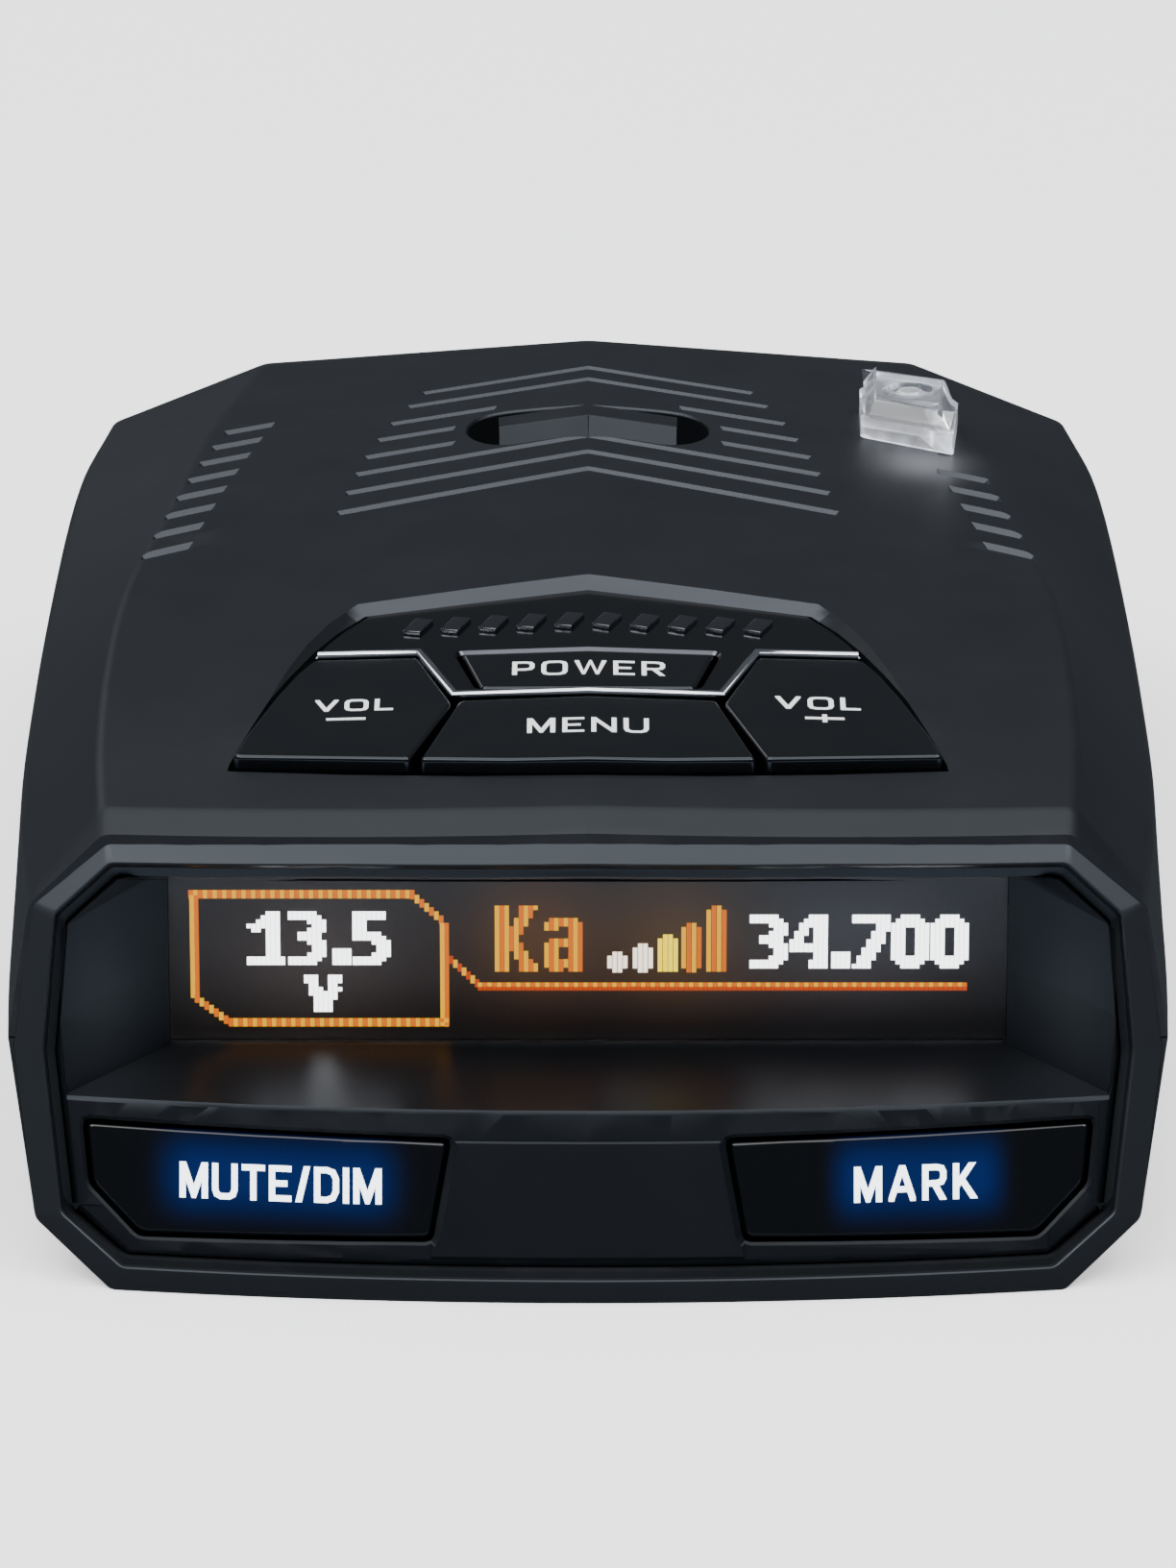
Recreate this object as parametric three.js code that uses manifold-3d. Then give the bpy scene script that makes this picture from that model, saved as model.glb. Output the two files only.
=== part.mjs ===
// Dashboard radar detector: two shells, a front ring and panel, seven sprung keys and the parts inside.
// Millimetres, +Z up, +Y towards the windshield, the user looks at the -Y end.
import * as THREE from "three";
import { mergeVertices } from "three/addons/utils/BufferGeometryUtils.js";
import Module from "manifold-3d";

// driving sizes
const BODY_LENGTH = 134.9;
const FACE_TILT = THREE.MathUtils.degToRad(24);
const FACE_BOW = 3.6;
const FACE_BOW_HALF = 43;
const BOW_FADE_START = 20;
const BOW_FADE_END = 62;
const PART_LINE = 16.5;
const SEAM = 0.3;
const WALL = 2.0;
const RING_DEPTH = 1.5;
const RIDGE_DROP = 1.2;
const PANEL_SET_BACK = 0.9;
const PANEL_THICK = 3.0;
const WINDOW_Y = 17.0;
const WINDOW_HALF = 31.1;
const WINDOW_LOW = 13.4;
const WINDOW_HIGH = 28.2;
const KEY_GAP = 0.3;
const KEY_THICK = 2.4;
const KEY_TRAVEL = 0.6;
const GROOVE_WIDTH = 0.9;
const GROOVE_DEPTH = 0.6;
const GROOVE_PITCH = 5.2;
const GROOVE_REACH = [19.5, 18.95, 18.3, 17.65, 16.75, 15.8, 14.5, 13.35];
const VENT_COUNT_LEFT = 8;
const VENT_COUNT_RIGHT = 5;
const SCREW_PLACES = [[-34, 30], [34, 30], [-32.5, 104], [32.5, 104]];
const LEAN = Math.tan(FACE_TILT);

const wasm = await Module();
wasm.setup();
const group = new THREE.Group();
group.name = "radar_detector";

// solids ---------------------------------------------------------------

function toSolid(geometry) {
  let g = geometry.clone();
  g.deleteAttribute("normal");
  g.deleteAttribute("uv");
  g = mergeVertices(g, 1e-4);
  const mesh = new wasm.Mesh({
    numProp: 3,
    vertProperties: new Float32Array(g.attributes.position.array),
    triVerts: new Uint32Array(g.index.array),
  });
  return new wasm.Manifold(mesh);
}

function toGeometry(solid) {
  const mesh = solid.getMesh();
  const g = new THREE.BufferGeometry();
  const place = new Float32Array((mesh.vertProperties.length / mesh.numProp) * 3);
  for (let i = 0; i < place.length / 3; i += 1) {
    place[3 * i] = mesh.vertProperties[mesh.numProp * i];
    place[3 * i + 1] = mesh.vertProperties[mesh.numProp * i + 1];
    place[3 * i + 2] = mesh.vertProperties[mesh.numProp * i + 2];
  }
  g.setAttribute("position", new THREE.BufferAttribute(place, 3));
  g.setIndex(Array.from(mesh.triVerts));
  return g;
}

function joined(solids) {
  let out = solids[0];
  for (const piece of solids.slice(1)) {
    out = out.add(piece);
  }
  return out;
}

// Closed solid through a row of outlines. Each outline has an upper and a lower chain of equal length.
function loft(sections) {
  const points = [];
  const triangles = [];
  const loops = sections.map((section) => {
    const count = section.top.length;
    const loop = { top: [], bottom: [] };
    section.top.forEach((p) => {
      loop.top.push(points.length);
      points.push(p);
    });
    section.bottom.forEach((p, i) => {
      if (i === 0 || i === count - 1) {
        loop.bottom.push(loop.top[i]);
      } else {
        loop.bottom.push(points.length);
        points.push(p);
      }
    });
    return loop;
  });
  const face = (a, b, c) => {
    if (a !== b && b !== c && a !== c) {
      triangles.push(a, b, c);
    }
  };
  const quad = (a, b, c, d) => {
    face(a, b, c);
    face(a, c, d);
  };
  const first = loops[0];
  const last = loops[loops.length - 1];
  for (let i = 0; i < first.top.length - 1; i += 1) {
    quad(first.bottom[i], first.bottom[i + 1], first.top[i + 1], first.top[i]);
    quad(last.top[i], last.top[i + 1], last.bottom[i + 1], last.bottom[i]);
  }
  for (let k = 0; k < loops.length - 1; k += 1) {
    const near = loops[k];
    const far = loops[k + 1];
    for (let i = 0; i < near.top.length - 1; i += 1) {
      quad(near.top[i], near.top[i + 1], far.top[i + 1], far.top[i]);
      quad(near.bottom[i + 1], near.bottom[i], far.bottom[i], far.bottom[i + 1]);
    }
  }
  const g = new THREE.BufferGeometry();
  g.setAttribute("position", new THREE.BufferAttribute(new Float32Array(points.flat()), 3));
  g.setIndex(triangles);
  return toSolid(g);
}

function box(low, high) {
  const g = new THREE.BoxGeometry(high[0] - low[0], high[1] - low[1], high[2] - low[2]);
  g.translate((low[0] + high[0]) / 2, (low[1] + high[1]) / 2, (low[2] + high[2]) / 2);
  return toSolid(g);
}

// Upright prism over a plan outline, from the height function low to the height function high.
function prism(outline, low, high) {
  const shape = new THREE.Shape(outline.map(([x, y]) => new THREE.Vector2(x, y)));
  const g = new THREE.ExtrudeGeometry(shape, { depth: 1, bevelEnabled: false, curveSegments: 4 });
  const p = g.attributes.position;
  for (let i = 0; i < p.count; i += 1) {
    const x = p.getX(i);
    const y = p.getY(i);
    p.setZ(i, p.getZ(i) > 0.5 ? high(x, y) : low(x, y));
  }
  return toSolid(g);
}

function level(z) {
  return () => z;
}

function cylinder(radius, low, high, x, y, sides = 24) {
  const g = new THREE.CylinderGeometry(radius, radius, high - low, sides);
  g.rotateX(Math.PI / 2);
  g.translate(x, y, (low + high) / 2);
  return toSolid(g);
}

// a turned solid about an upright axis from (radius, height) points
function turned(profile, x, y, sides = 32) {
  const points = profile.map(([r, z]) => new THREE.Vector2(r, z));
  points.push(points[0].clone());
  const g = new THREE.LatheGeometry(points, sides);
  g.rotateX(Math.PI / 2);
  g.translate(x, y, 0);
  return toSolid(g);
}

// shape of the case -----------------------------------------------------

function between(table, y) {
  if (y <= table[0][0]) {
    return table[0][1];
  }
  for (let i = 1; i < table.length; i += 1) {
    if (y <= table[i][0]) {
      const [y0, v0] = table[i - 1];
      const [y1, v1] = table[i];
      return v0 + ((v1 - v0) * (y - y0)) / (y1 - y0);
    }
  }
  return table[table.length - 1][1];
}

const CROWN = [[0, 31.3], [13.8, 31.3], [16.6, 32.6], [32, 34.0], [45, 34.55], [55, 34.6], [66, 34.45], [78, 33.85],
  [91, 32.8], [104, 31.45], [120, 29.5], [135, 27.6]];
const CREASE = [[0, 35.5], [16, 35.9], [26, 36.5], [41, 36.6], [59, 35.9], [80, 33.5], [105, 30.8], [135, 27.3]];
const CREASE_DROP = [[0, 0.9], [16.6, 0.95], [40, RIDGE_DROP], [135, RIDGE_DROP]];
const UPPER_HALF = [[0, 41.0], [12, 41.2], [33, 42.7], [89, 42.6], [110, 41.8], [126, 40.7], [135, 40.1]];
const UPPER_HEIGHT = [[0, 25.8], [33, 25.2], [89, 24.8], [110, 24.4], [126, 23.7], [135, 23.3]];
const MIDDLE_HALF = [[0, 42.35], [20, 43.3], [45, 43.6], [97, 43.5], [115, 42.4], [126, 41.3], [135, 40.5]];
const LOWER_HALF = [[0, 40.7], [30, 41.4], [100, 41.2], [135, 38.5]];
const LOWER_HEIGHT = [[0, 4.7], [135, 5.5]];
const BOTTOM_HALF = [[0, 35.0], [20, 37.0], [100, 37.0], [135, 34.0]];
const FLOOR = [[0, 0], [114, 0], [135, 2.6]];

function bowAt(x, y) {
  const fade = THREE.MathUtils.clamp((BOW_FADE_END - y) / (BOW_FADE_END - BOW_FADE_START), 0, 1);
  return FACE_BOW * (x / FACE_BOW_HALF) ** 2 * fade * fade * (3 - 2 * fade);
}

function roofHeight(x, y) {
  const side = Math.min(1, Math.abs(x) / between(CREASE, y));
  return between(CROWN, y) - between(CREASE_DROP, y) * side;
}

const SPREAD = [1, 0.66, 0.33];

// one outline of the case at the place `start` (measured at the floor), leaning back by `lean`, shrunk by `inset`
function caseSection(start, lean, inset, pull) {
  const yAt = (z) => start + lean * z;
  const chain = [];
  const add = (half, z, shrinkX, shrinkZ) => chain.push([half - shrinkX, z - shrinkZ, yAt(z)]);
  const yTop = yAt(32);
  add(between(MIDDLE_HALF, yAt(PART_LINE)), PART_LINE, inset, 0);
  add(between(UPPER_HALF, yAt(25)), between(UPPER_HEIGHT, yAt(25)), inset, inset * 0.35);
  const creaseHalf = between(CREASE, yTop);
  const crown = between(CROWN, yTop);
  const drop = between(CREASE_DROP, yTop);
  add(creaseHalf, crown - drop, inset * 0.45, inset);
  const top = chain.map((c) => c);
  [0.66, 0.33, 0].forEach((s) => top.push([creaseHalf * s, crown - drop * s - inset, yTop]));
  const floor = between(FLOOR, yAt(0));
  const low = [
    top[0],
    [between(LOWER_HALF, yAt(5)) - inset, between(LOWER_HEIGHT, yAt(5)) + inset * 0.3, yAt(5)],
    [between(BOTTOM_HALF, yAt(0)) - inset * 0.5, floor + inset, yAt(0)],
  ];
  SPREAD.slice(1).forEach((s) => low.push([low[2][0] * s, floor + inset, yAt(0)]));
  low.push([0, floor + inset, yAt(0)]);
  const place = ([x, z, y], sign) => [sign * x, pull(y, z) + bowAt(x, y), z];
  const whole = (half) => {
    const left = half.map((c) => place(c, -1));
    const right = half.slice(0, -1).reverse().map((c) => place(c, 1));
    return left.concat(right);
  };
  return { top: whole(top), bottom: whole(low) };
}

const STATIONS = [[2.2, 1], [8, 0.9], [18, 0.72], [30, 0.52], [42, 0.3], [55, 0.12], [68, 0], [82, 0], [96, 0],
  [108, 0], [120, 0]];

function caseLoft(inset, frontStart, backEnd) {
  const keep = (y) => y;
  const rows = [];
  rows.push(caseSection(frontStart, LEAN, inset, keep));
  STATIONS.forEach(([start, share]) => {
    if (start > frontStart + 0.5) {
      rows.push(caseSection(start, LEAN * share, inset, keep));
    }
  });
  rows.push(caseSection(backEnd, 0, inset, keep));
  return loft(rows);
}

// windshield end: a shallow V in plan with cut corners
function rearTrim(inset) {
  const side = (sign) => prism([
    [sign * -1, BODY_LENGTH + 0.09 - inset],
    [sign * 27.5, BODY_LENGTH - 2.5 - inset],
    [sign * (41.5 - inset), BODY_LENGTH - 10.5 - inset],
    [sign * 60, BODY_LENGTH - 30],
    [sign * 60, BODY_LENGTH + 20],
    [sign * -1, BODY_LENGTH + 20],
  ], level(-5), level(60));
  return side(1).add(side(-1));
}

const outer = caseLoft(0, RING_DEPTH + SEAM, BODY_LENGTH).subtract(rearTrim(0));
const cavity = caseLoft(WALL, -3, BODY_LENGTH).subtract(rearTrim(WALL));
const clearInside = caseLoft(WALL + 0.25, -3, BODY_LENGTH).subtract(rearTrim(WALL + 0.25));

// front face helpers: x across, h up along the tilted face, d behind it ---------

function onFace(x, h, d) {
  const y = h * Math.sin(FACE_TILT) + d * Math.cos(FACE_TILT);
  const z = h * Math.cos(FACE_TILT) - d * Math.sin(FACE_TILT);
  return [x, y + FACE_BOW * (x / FACE_BOW_HALF) ** 2, z];
}

function mirrored(half, place) {
  const left = half.map(([x, h]) => place(-x, h));
  const right = half.slice(0, -1).reverse().map(([x, h]) => place(x, h));
  return left.concat(right);
}

// an upper and lower chain from their corner points, with extra points across the wide middle
function faceOutline(upper, lower, place) {
  const fill = (chain) => {
    const [x, h] = chain[chain.length - 2];
    const middle = chain[chain.length - 1][1];
    const extra = [0.75, 0.5, 0.25].map((s) => [x * s, middle + (h - middle) * s * s]);
    return chain.slice(0, -1).concat(extra, [[0, middle]]);
  };
  return { top: mirrored(fill(upper), place), bottom: mirrored(fill(lower), place) };
}

const RING_UP = [[42.35, 17.4], [41.0, 28.2], [35.5, 33.3], [0, 34.25]];
const RING_LOW = [[42.35, 17.4], [40.7, 5.1], [35.0, 0], [0, 0]];
const HOLE_UP = [[40.0, 17.4], [39.2, 27.3], [35.1, 31.3], [0, 32.1]];
const HOLE_LOW = [[40.0, 17.4], [38.6, 5.7], [34.2, 1.9], [0, 1.85]];

function shrink(chain, by) {
  return chain.map(([x, h], i) => {
    const down = chain === HOLE_UP ? -by : by;
    const lift = i === 0 ? 0 : i === 1 ? down * 0.4 : down;
    return [x === 0 ? 0 : x - by * (i === 2 ? 0.45 : 1), h + lift];
  });
}

function slab(upper, lower, near, far) {
  const at = (d) => faceOutline(upper, lower, (x, h) => onFace(x, h, d));
  return loft([at(near), at(far)]);
}

function addPart(name, solid, color, extra = {}) {
  const bodies = solid.decompose().sort((a, b) => b.volume() - a.volume());
  const geometry = toGeometry(bodies[0]);
  geometry.translate(0, -BODY_LENGTH / 2, 0);
  geometry.computeVertexNormals();
  const material = new THREE.MeshStandardMaterial({ color, roughness: 0.5, metalness: 0, flatShading: true, ...extra });
  material.name = name;
  const mesh = new THREE.Mesh(geometry, material);
  mesh.name = name;
  group.add(mesh);
}

// front ring: follows the case outline for its short depth
const ringFront = faceOutline(RING_UP, RING_LOW, (x, h) => onFace(x, h, 0));
const ringBack = {
  top: ringFront.top.map(([x, y, z]) => [x * 1.004, y + RING_DEPTH, z + (z > 28 ? RING_DEPTH * 0.46 : 0)]),
  bottom: ringFront.bottom.map(([x, y, z]) => [x * 1.004, y + RING_DEPTH, z]),
};
const ring = loft([ringFront, ringBack]).subtract(slab(HOLE_UP, HOLE_LOW, -6, 9));
addPart("front_bezel", ring, 0x34373d);

// front panel: plate, display recess, lower key block
const plate = slab(shrink(HOLE_UP, 0.35), shrink(HOLE_LOW, 0.35), PANEL_SET_BACK, PANEL_SET_BACK + PANEL_THICK);
const RECESS_UP = [[38.95, 20], [38.9, 26.6], [34.6, 30.55], [0, 31.35]];
const RECESS_LOW = [[38.95, 20], [38.5, 15.2], [38.3, 14.4], [0, 14.4]];

function recessSolid(grow, near, back) {
  const low = WINDOW_LOW - grow;
  const high = WINDOW_HIGH + grow;
  const half = WINDOW_HALF + grow;
  const wide = (chain, lift) => chain.map(([x, h], i) => [x === 0 ? 0 : x + grow, i === 0 ? h : h + lift]);
  const front = faceOutline(wide(RECESS_UP, grow), wide(RECESS_LOW, -grow), (x, h) => onFace(x, h, near));
  const flat = (upper) => [[half, 20], [half, upper ? high - 1 : low + 0.8], [half - 0.02, upper ? high : low],
    [0, upper ? high : low]];
  const rear = faceOutline(flat(true), flat(false), (x, h) => [x, back, h]);
  return loft([front, rear]);
}

const housing = recessSolid(1.3, PANEL_SET_BACK + 0.6, WINDOW_Y + 1.6);
const recess = recessSolid(0, PANEL_SET_BACK - 0.02, WINDOW_Y)
  .add(slab(RECESS_UP, RECESS_LOW, PANEL_SET_BACK - 4, PANEL_SET_BACK))
  .add(box([-WINDOW_HALF, WINDOW_Y - 0.05, WINDOW_LOW], [WINDOW_HALF, WINDOW_Y + 5, WINDOW_HIGH]));

// straight-edged prism on the face from corner points (x, h)
function facePrism(corners, near, far) {
  const shape = new THREE.Shape(corners.map(([x, h]) => new THREE.Vector2(x, h)));
  const g = new THREE.ExtrudeGeometry(shape, { depth: 1, bevelEnabled: false });
  const p = g.attributes.position;
  for (let i = 0; i < p.count; i += 1) {
    const [x, y, z] = onFace(p.getX(i), p.getY(i), p.getZ(i) > 0.5 ? near : far);
    p.setXYZ(i, x, y, z);
  }
  return toSolid(g);
}

const LEFT_KEY = [[-10.35, 11.85], [-19, 12.0], [-28, 12.15], [-36.9, 12.3], [-36.5, 7.9], [-33.0, 4.4],
  [-26, 4.55], [-19, 4.65], [-11.65, 4.75]];

function flipped(corners) {
  return corners.map(([x, y]) => [-x, y]).reverse();
}

// grows a closed outline outwards by `by`, corner by corner
function grown(corners, by) {
  const area = corners.reduce((sum, [x, y], i) => {
    const [nx, ny] = corners[(i + 1) % corners.length];
    return sum + x * ny - nx * y;
  }, 0);
  const turn = Math.sign(area);
  return corners.map(([x, y], i) => {
    const [px, py] = corners[(i + corners.length - 1) % corners.length];
    const [nx, ny] = corners[(i + 1) % corners.length];
    const a = new THREE.Vector2(x - px, y - py).normalize();
    const b = new THREE.Vector2(nx - x, ny - y).normalize();
    const na = new THREE.Vector2(a.y, -a.x).multiplyScalar(turn);
    const nb = new THREE.Vector2(b.y, -b.x).multiplyScalar(turn);
    const scale = by / Math.max(0.35, 1 + na.dot(nb));
    return [x + (na.x + nb.x) * scale, y + (na.y + nb.y) * scale];
  });
}

const frontKeys = { mute_dim_key: LEFT_KEY, mark_key: flipped(LEFT_KEY) };
let panel = plate.add(housing).subtract(recess);
Object.values(frontKeys).forEach((corners) => {
  panel = panel.subtract(facePrism(grown(corners, KEY_GAP), PANEL_SET_BACK - 1, PANEL_SET_BACK + PANEL_THICK + 2.5));
});
addPart("front_panel", panel.intersect(clearInside), 0x1b1d21);
Object.entries(frontKeys).forEach(([name, corners]) => {
  const cap = facePrism(corners, PANEL_SET_BACK + 0.25, PANEL_SET_BACK + 2.5);
  addPart(name, cap, 0x0c0d10, { roughness: 0.2 });
});

// display stack
addPart("display_window", box([-WINDOW_HALF + 0.2, WINDOW_Y + 0.1, WINDOW_LOW + 0.2],
  [WINDOW_HALF - 0.2, WINDOW_Y + 1.1, WINDOW_HIGH - 0.2]), 0x101318, { roughness: 0.1 });
addPart("display_module", box([-33, WINDOW_Y + 1.95, 12.4], [33, WINDOW_Y + 4.0, 28.6]), 0x1a1c1f);
addPart("display_board", box([-34, WINDOW_Y + 4.4, 9.5], [34, WINDOW_Y + 5.9, 28.6]), 0x1f4a33);

// top key pocket and keys
const POCKET = [[0, 21.7], [9, 22.0], [18, 22.8], [26.8, 24.0], [26.6, 25.2], [24.9, 32.6], [22.5, 41.5], [20.4, 47.5],
  [17.2, 54.0], [9, 56.4], [0, 58.8]];
const pocketOutline = POCKET.concat(POCKET.slice(1, -1).reverse().map(([x, y]) => [-x, y]));
const bevelOutline = grown(pocketOutline.map(([x, y]) => [x, y < 25 ? y + 1.2 : y]), 1.1);

function padHeight(x, y) {
  return 34.35 - ((y - 21.6) * 0.6) / 35 - RIDGE_DROP * 0.8 * Math.abs(x / 36);
}

const POWER_KEY = [[-9.7, 44.9], [-8.1, 37.4], [8.1, 37.4], [9.7, 44.9], [0, 45.1]];
const MENU_KEY = [[-9.7, 35.0], [-12.5, 22.7], [-6, 22.2], [0, 22.0], [6, 22.2], [12.5, 22.7], [9.7, 35.0], [0, 35.3]];
const VOLUME_KEY = [[-21.0, 44.5], [-22.1, 41.5], [-24.5, 32.6], [-26.2, 25.2], [-26.3, 24.3], [-13.2, 22.8],
  [-10.2, 34.4], [-12.9, 44.5]];
const keyShapes = {
  power_key: POWER_KEY,
  menu_key: MENU_KEY,
  volume_down_key: VOLUME_KEY,
  volume_up_key: flipped(VOLUME_KEY),
};

const TRIM_FRONT = [[-20, 45.0], [-12.6, 45.0], [-9.8, 35.7], [0, 35.9], [9.8, 35.7], [12.6, 45.0], [20, 45.0]];
const trimOutline = TRIM_FRONT.concat([[20.9, 45.0], [20.0, 47.5], [16.9, 53.7], [9, 56.0], [0, 58.4],
  [-9, 56.0], [-16.9, 53.7], [-20.0, 47.5], [-20.9, 45.0]]);
let trim = prism(trimOutline, (x, y) => padHeight(x, y) - 2.6, (x, y) => padHeight(x, y) + 0.1);
trim = trim.subtract(prism(grown(POWER_KEY, KEY_GAP), level(25), level(40)));
addPart("keypad_trim", trim, 0x3a3d42, { metalness: 0.9, roughness: 0.2 });
Object.entries(keyShapes).forEach(([name, corners]) => {
  const cap = prism(corners, (x, y) => padHeight(x, y) - KEY_THICK, padHeight);
  addPart(name, cap, 0x0d0e11, { roughness: 0.18 });
});
addPart("keypad_mat", prism([[-24, 24.6], [24, 24.6], [21, 43], [15, 53], [-15, 53], [-21, 43]],
  level(29.6), level(30.4)), 0x2c2e31);
addPart("key_board", box([-23.5, 25, 24.6], [23.5, 47, 26.2]), 0x1f4a33);

const topSwitches = { power_switch: [0, 41], menu_switch: [0, 29], volume_down_switch: [-18, 33.5],
  volume_up_switch: [18, 33.5] };
Object.entries(topSwitches).forEach(([name, [x, y]]) => {
  const body = box([x - 3, y - 3, 26.3], [x + 3, y + 3, 28.4]).add(cylinder(1.6, 28.3, 29.4, x, y, 16));
  addPart(name, body, 0x26282b);
});

// lower keys: a tilted board with two switches
const boardCorners = [[-36, 3.4], [36, 3.4], [36, 12.2], [-36, 12.2]];

function tiltedBox(corners, near, far) {
  const flatFace = (x, h, d) => [x, h * Math.sin(FACE_TILT) + d * Math.cos(FACE_TILT),
    h * Math.cos(FACE_TILT) - d * Math.sin(FACE_TILT)];
  const shape = new THREE.Shape(corners.map(([x, h]) => new THREE.Vector2(x, h)));
  const g = new THREE.ExtrudeGeometry(shape, { depth: 1, bevelEnabled: false });
  const p = g.attributes.position;
  for (let i = 0; i < p.count; i += 1) {
    const [x, y, z] = flatFace(p.getX(i), p.getY(i), p.getZ(i) > 0.5 ? near : far);
    p.setXYZ(i, x, y, z);
  }
  return toSolid(g);
}

addPart("front_key_board", tiltedBox(boardCorners, 7.6, 8.8).intersect(clearInside), 0x1f4a33);
[["mute_dim_switch", -24], ["mark_switch", 24]].forEach(([name, x]) => {
  const corners = [[x - 3, 5.9], [x + 3, 5.9], [x + 3, 11.3], [x - 3, 11.3]];
  const stem = [[x - 1.4, 6.8], [x + 1.4, 6.8], [x + 1.4, 9.6], [x - 1.4, 9.6]];
  addPart(name, tiltedBox(corners, 6.1, 7.5).add(tiltedBox(stem, 5.75, 6.2)), 0x26282b);
});

// mount release: pocket, bar, latch and spring
const RELEASE_Y = 101.9;
const RELEASE_RIM = [[0, 98.7], [3.5, 97.5], [6.4, 96.1], [8.0, 96.5], [9.1, 98.0], [9.8, 100.2], [9.8, 102.6],
  [9.2, 104.9], [8.1, 106.6], [6.4, 107.6], [3.5, 108.3], [0, 108.8]];
const releaseRim = RELEASE_RIM.concat(RELEASE_RIM.slice(1, -1).reverse().map(([x, y]) => [-x, y]));

const LATCH_LOW = 14.9;
const LATCH_HIGH = 15.9;
const BAR = [[-7.2, 97.4], [0, 100.2], [7.2, 97.4], [7.3, 102.5], [0, 105.6], [-7.3, 102.5]];
const BAR_CREST = 102.3;
const BAR_SWEEP = 0.39;
const BAR_FALL = 1.15;
const barTop = (x, y) => roofHeight(0, RELEASE_Y) + 0.75 - (y - RELEASE_Y) * 0.09 - 0.04 * Math.abs(x);
const crestAt = (x) => BAR_CREST - BAR_SWEEP * Math.abs(x);
const barFront = (side) => prism([[0, 93], [side * 9, 93], [side * 9, crestAt(9)], [0, crestAt(0)]],
  (x, y) => barTop(x, crestAt(x)) - BAR_FALL * (crestAt(x) - y), level(50));
const button = prism(BAR, (x, y) => roofHeight(x, y) - 2.1, barTop)
  .subtract(barFront(1))
  .subtract(barFront(-1))
  .add(box([-3, 100, LATCH_HIGH + 0.3], [3, 104.6, 29.7]));

// bracket slot in the windshield end, with its walls
const SLOT_HALF = 9.0;
const SLOT_LOW = 17.6;
const SLOT_HIGH = 23.4;
const SLOT_DEEP = 112;
const slotHousing = box([-SLOT_HALF - 1.6, SLOT_DEEP - 1.6, 16.65], [SLOT_HALF + 1.6, BODY_LENGTH - 1.2, SLOT_HIGH + 1.6]);
const slotHollow = box([-SLOT_HALF, SLOT_DEEP, SLOT_LOW], [SLOT_HALF, BODY_LENGTH + 4, SLOT_HIGH]);

// upper shell
let upper = outer.subtract(cavity).subtract(box([-60, -20, -5], [60, 160, PART_LINE + SEAM / 2]));
const bosses = SCREW_PLACES.map(([x, y]) => cylinder(3.2, PART_LINE + 0.15, 40, x, y).intersect(outer));
upper = joined([upper, ...bosses, slotHousing.intersect(outer)]).subtract(slotHollow)
  .subtract(box([-2.6, 114.4, 14], [2.6, 118.2, 20]));
SCREW_PLACES.forEach(([x, y]) => {
  upper = upper.subtract(cylinder(1.35, 10, 22.5, x, y, 16));
});
upper = upper.subtract(prism(pocketOutline, level(26), level(50)));
upper = upper.subtract(prism(bevelOutline, (x, y) => padHeight(x, y) + (y > 50 ? 0.15 : 1.6), level(50)));

// release pocket with a floor under it
const pocketFloor = prism(grown(releaseRim, 1.4), level(26.3), level(29.4))
  .intersect(outer);
upper = upper.add(pocketFloor).subtract(prism(releaseRim, level(27.6), level(50)))
  .subtract(box([-3.4, 99.6, 20], [3.4, 105, 30]));

// chevron grooves
function groove(middleY, from, to, rise) {
  const half = GROOVE_WIDTH / 2;
  const edge = (x, off) => [x, middleY - rise * Math.abs(x) + off];
  const strip = (a, b) => prism([edge(a, -half), edge(b, -half), edge(b, half), edge(a, half)],
    (x, y) => roofHeight(x, y) - GROOVE_DEPTH, (x, y) => roofHeight(x, y) + 2);
  const right = strip(from, to);
  return from === 0 ? right.add(strip(0, -to)) : right.add(strip(-from, -to));
}

for (let i = 0; i < 8; i += 1) {
  const middle = 87.6 + GROOVE_PITCH * i - (i > 5 ? 0.35 * (i - 5) : 0);
  const reach = GROOVE_REACH[i];
  const inner = i >= 3 && i <= 5 ? (i === 5 ? 7.9 : 11.2) : 0;
  upper = upper.subtract(groove(middle, inner, reach, 0.515));
}

// side vents
function vent(sign, index) {
  const y = 69.6 + GROOVE_PITCH * index;
  const x = 31.6 - 0.019 * index * (36 + index * 0.6);
  const corners = [[x, y - 0.45], [x + 3.1, y - 2.5], [x + 3.1, y - 1.6], [x, y + 0.45]];
  return prism(corners.map(([a, b]) => [sign * a, b]), level(20), level(50));
}

for (let i = 0; i < VENT_COUNT_LEFT; i += 1) {
  upper = upper.subtract(vent(-1, i));
}
for (let i = 0; i < VENT_COUNT_RIGHT; i += 1) {
  upper = upper.subtract(vent(1, i));
}

// clear lens for the rear laser sensor, standing on the roof
const LENS_BASE = [[22.2, 100.4], [29.4, 95.8], [30.4, 107], [22.4, 110.8]];
const lensHole = prism(grown(LENS_BASE, -0.9), level(20), level(50));
upper = upper.subtract(lensHole);
const lensFoot = prism(LENS_BASE, (x, y) => roofHeight(x, y) + 0.15, (x, y) => roofHeight(x, y) + 2.3);
const lensTop = prism([[22.9, 102.6], [29.0, 98.6], [29.6, 106.2], [23.0, 109.6]],
  (x, y) => roofHeight(x, y) + 2.1, (x, y) => 34.35 - (y - 100) * 0.06);
const lensPlug = prism(grown(LENS_BASE, -1.25), level(25.2), (x, y) => roofHeight(x, y) + 0.4);
addPart("rear_laser_lens", joined([lensFoot, lensTop, lensPlug]), 0xdfe5ea, { roughness: 0.05 });
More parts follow.
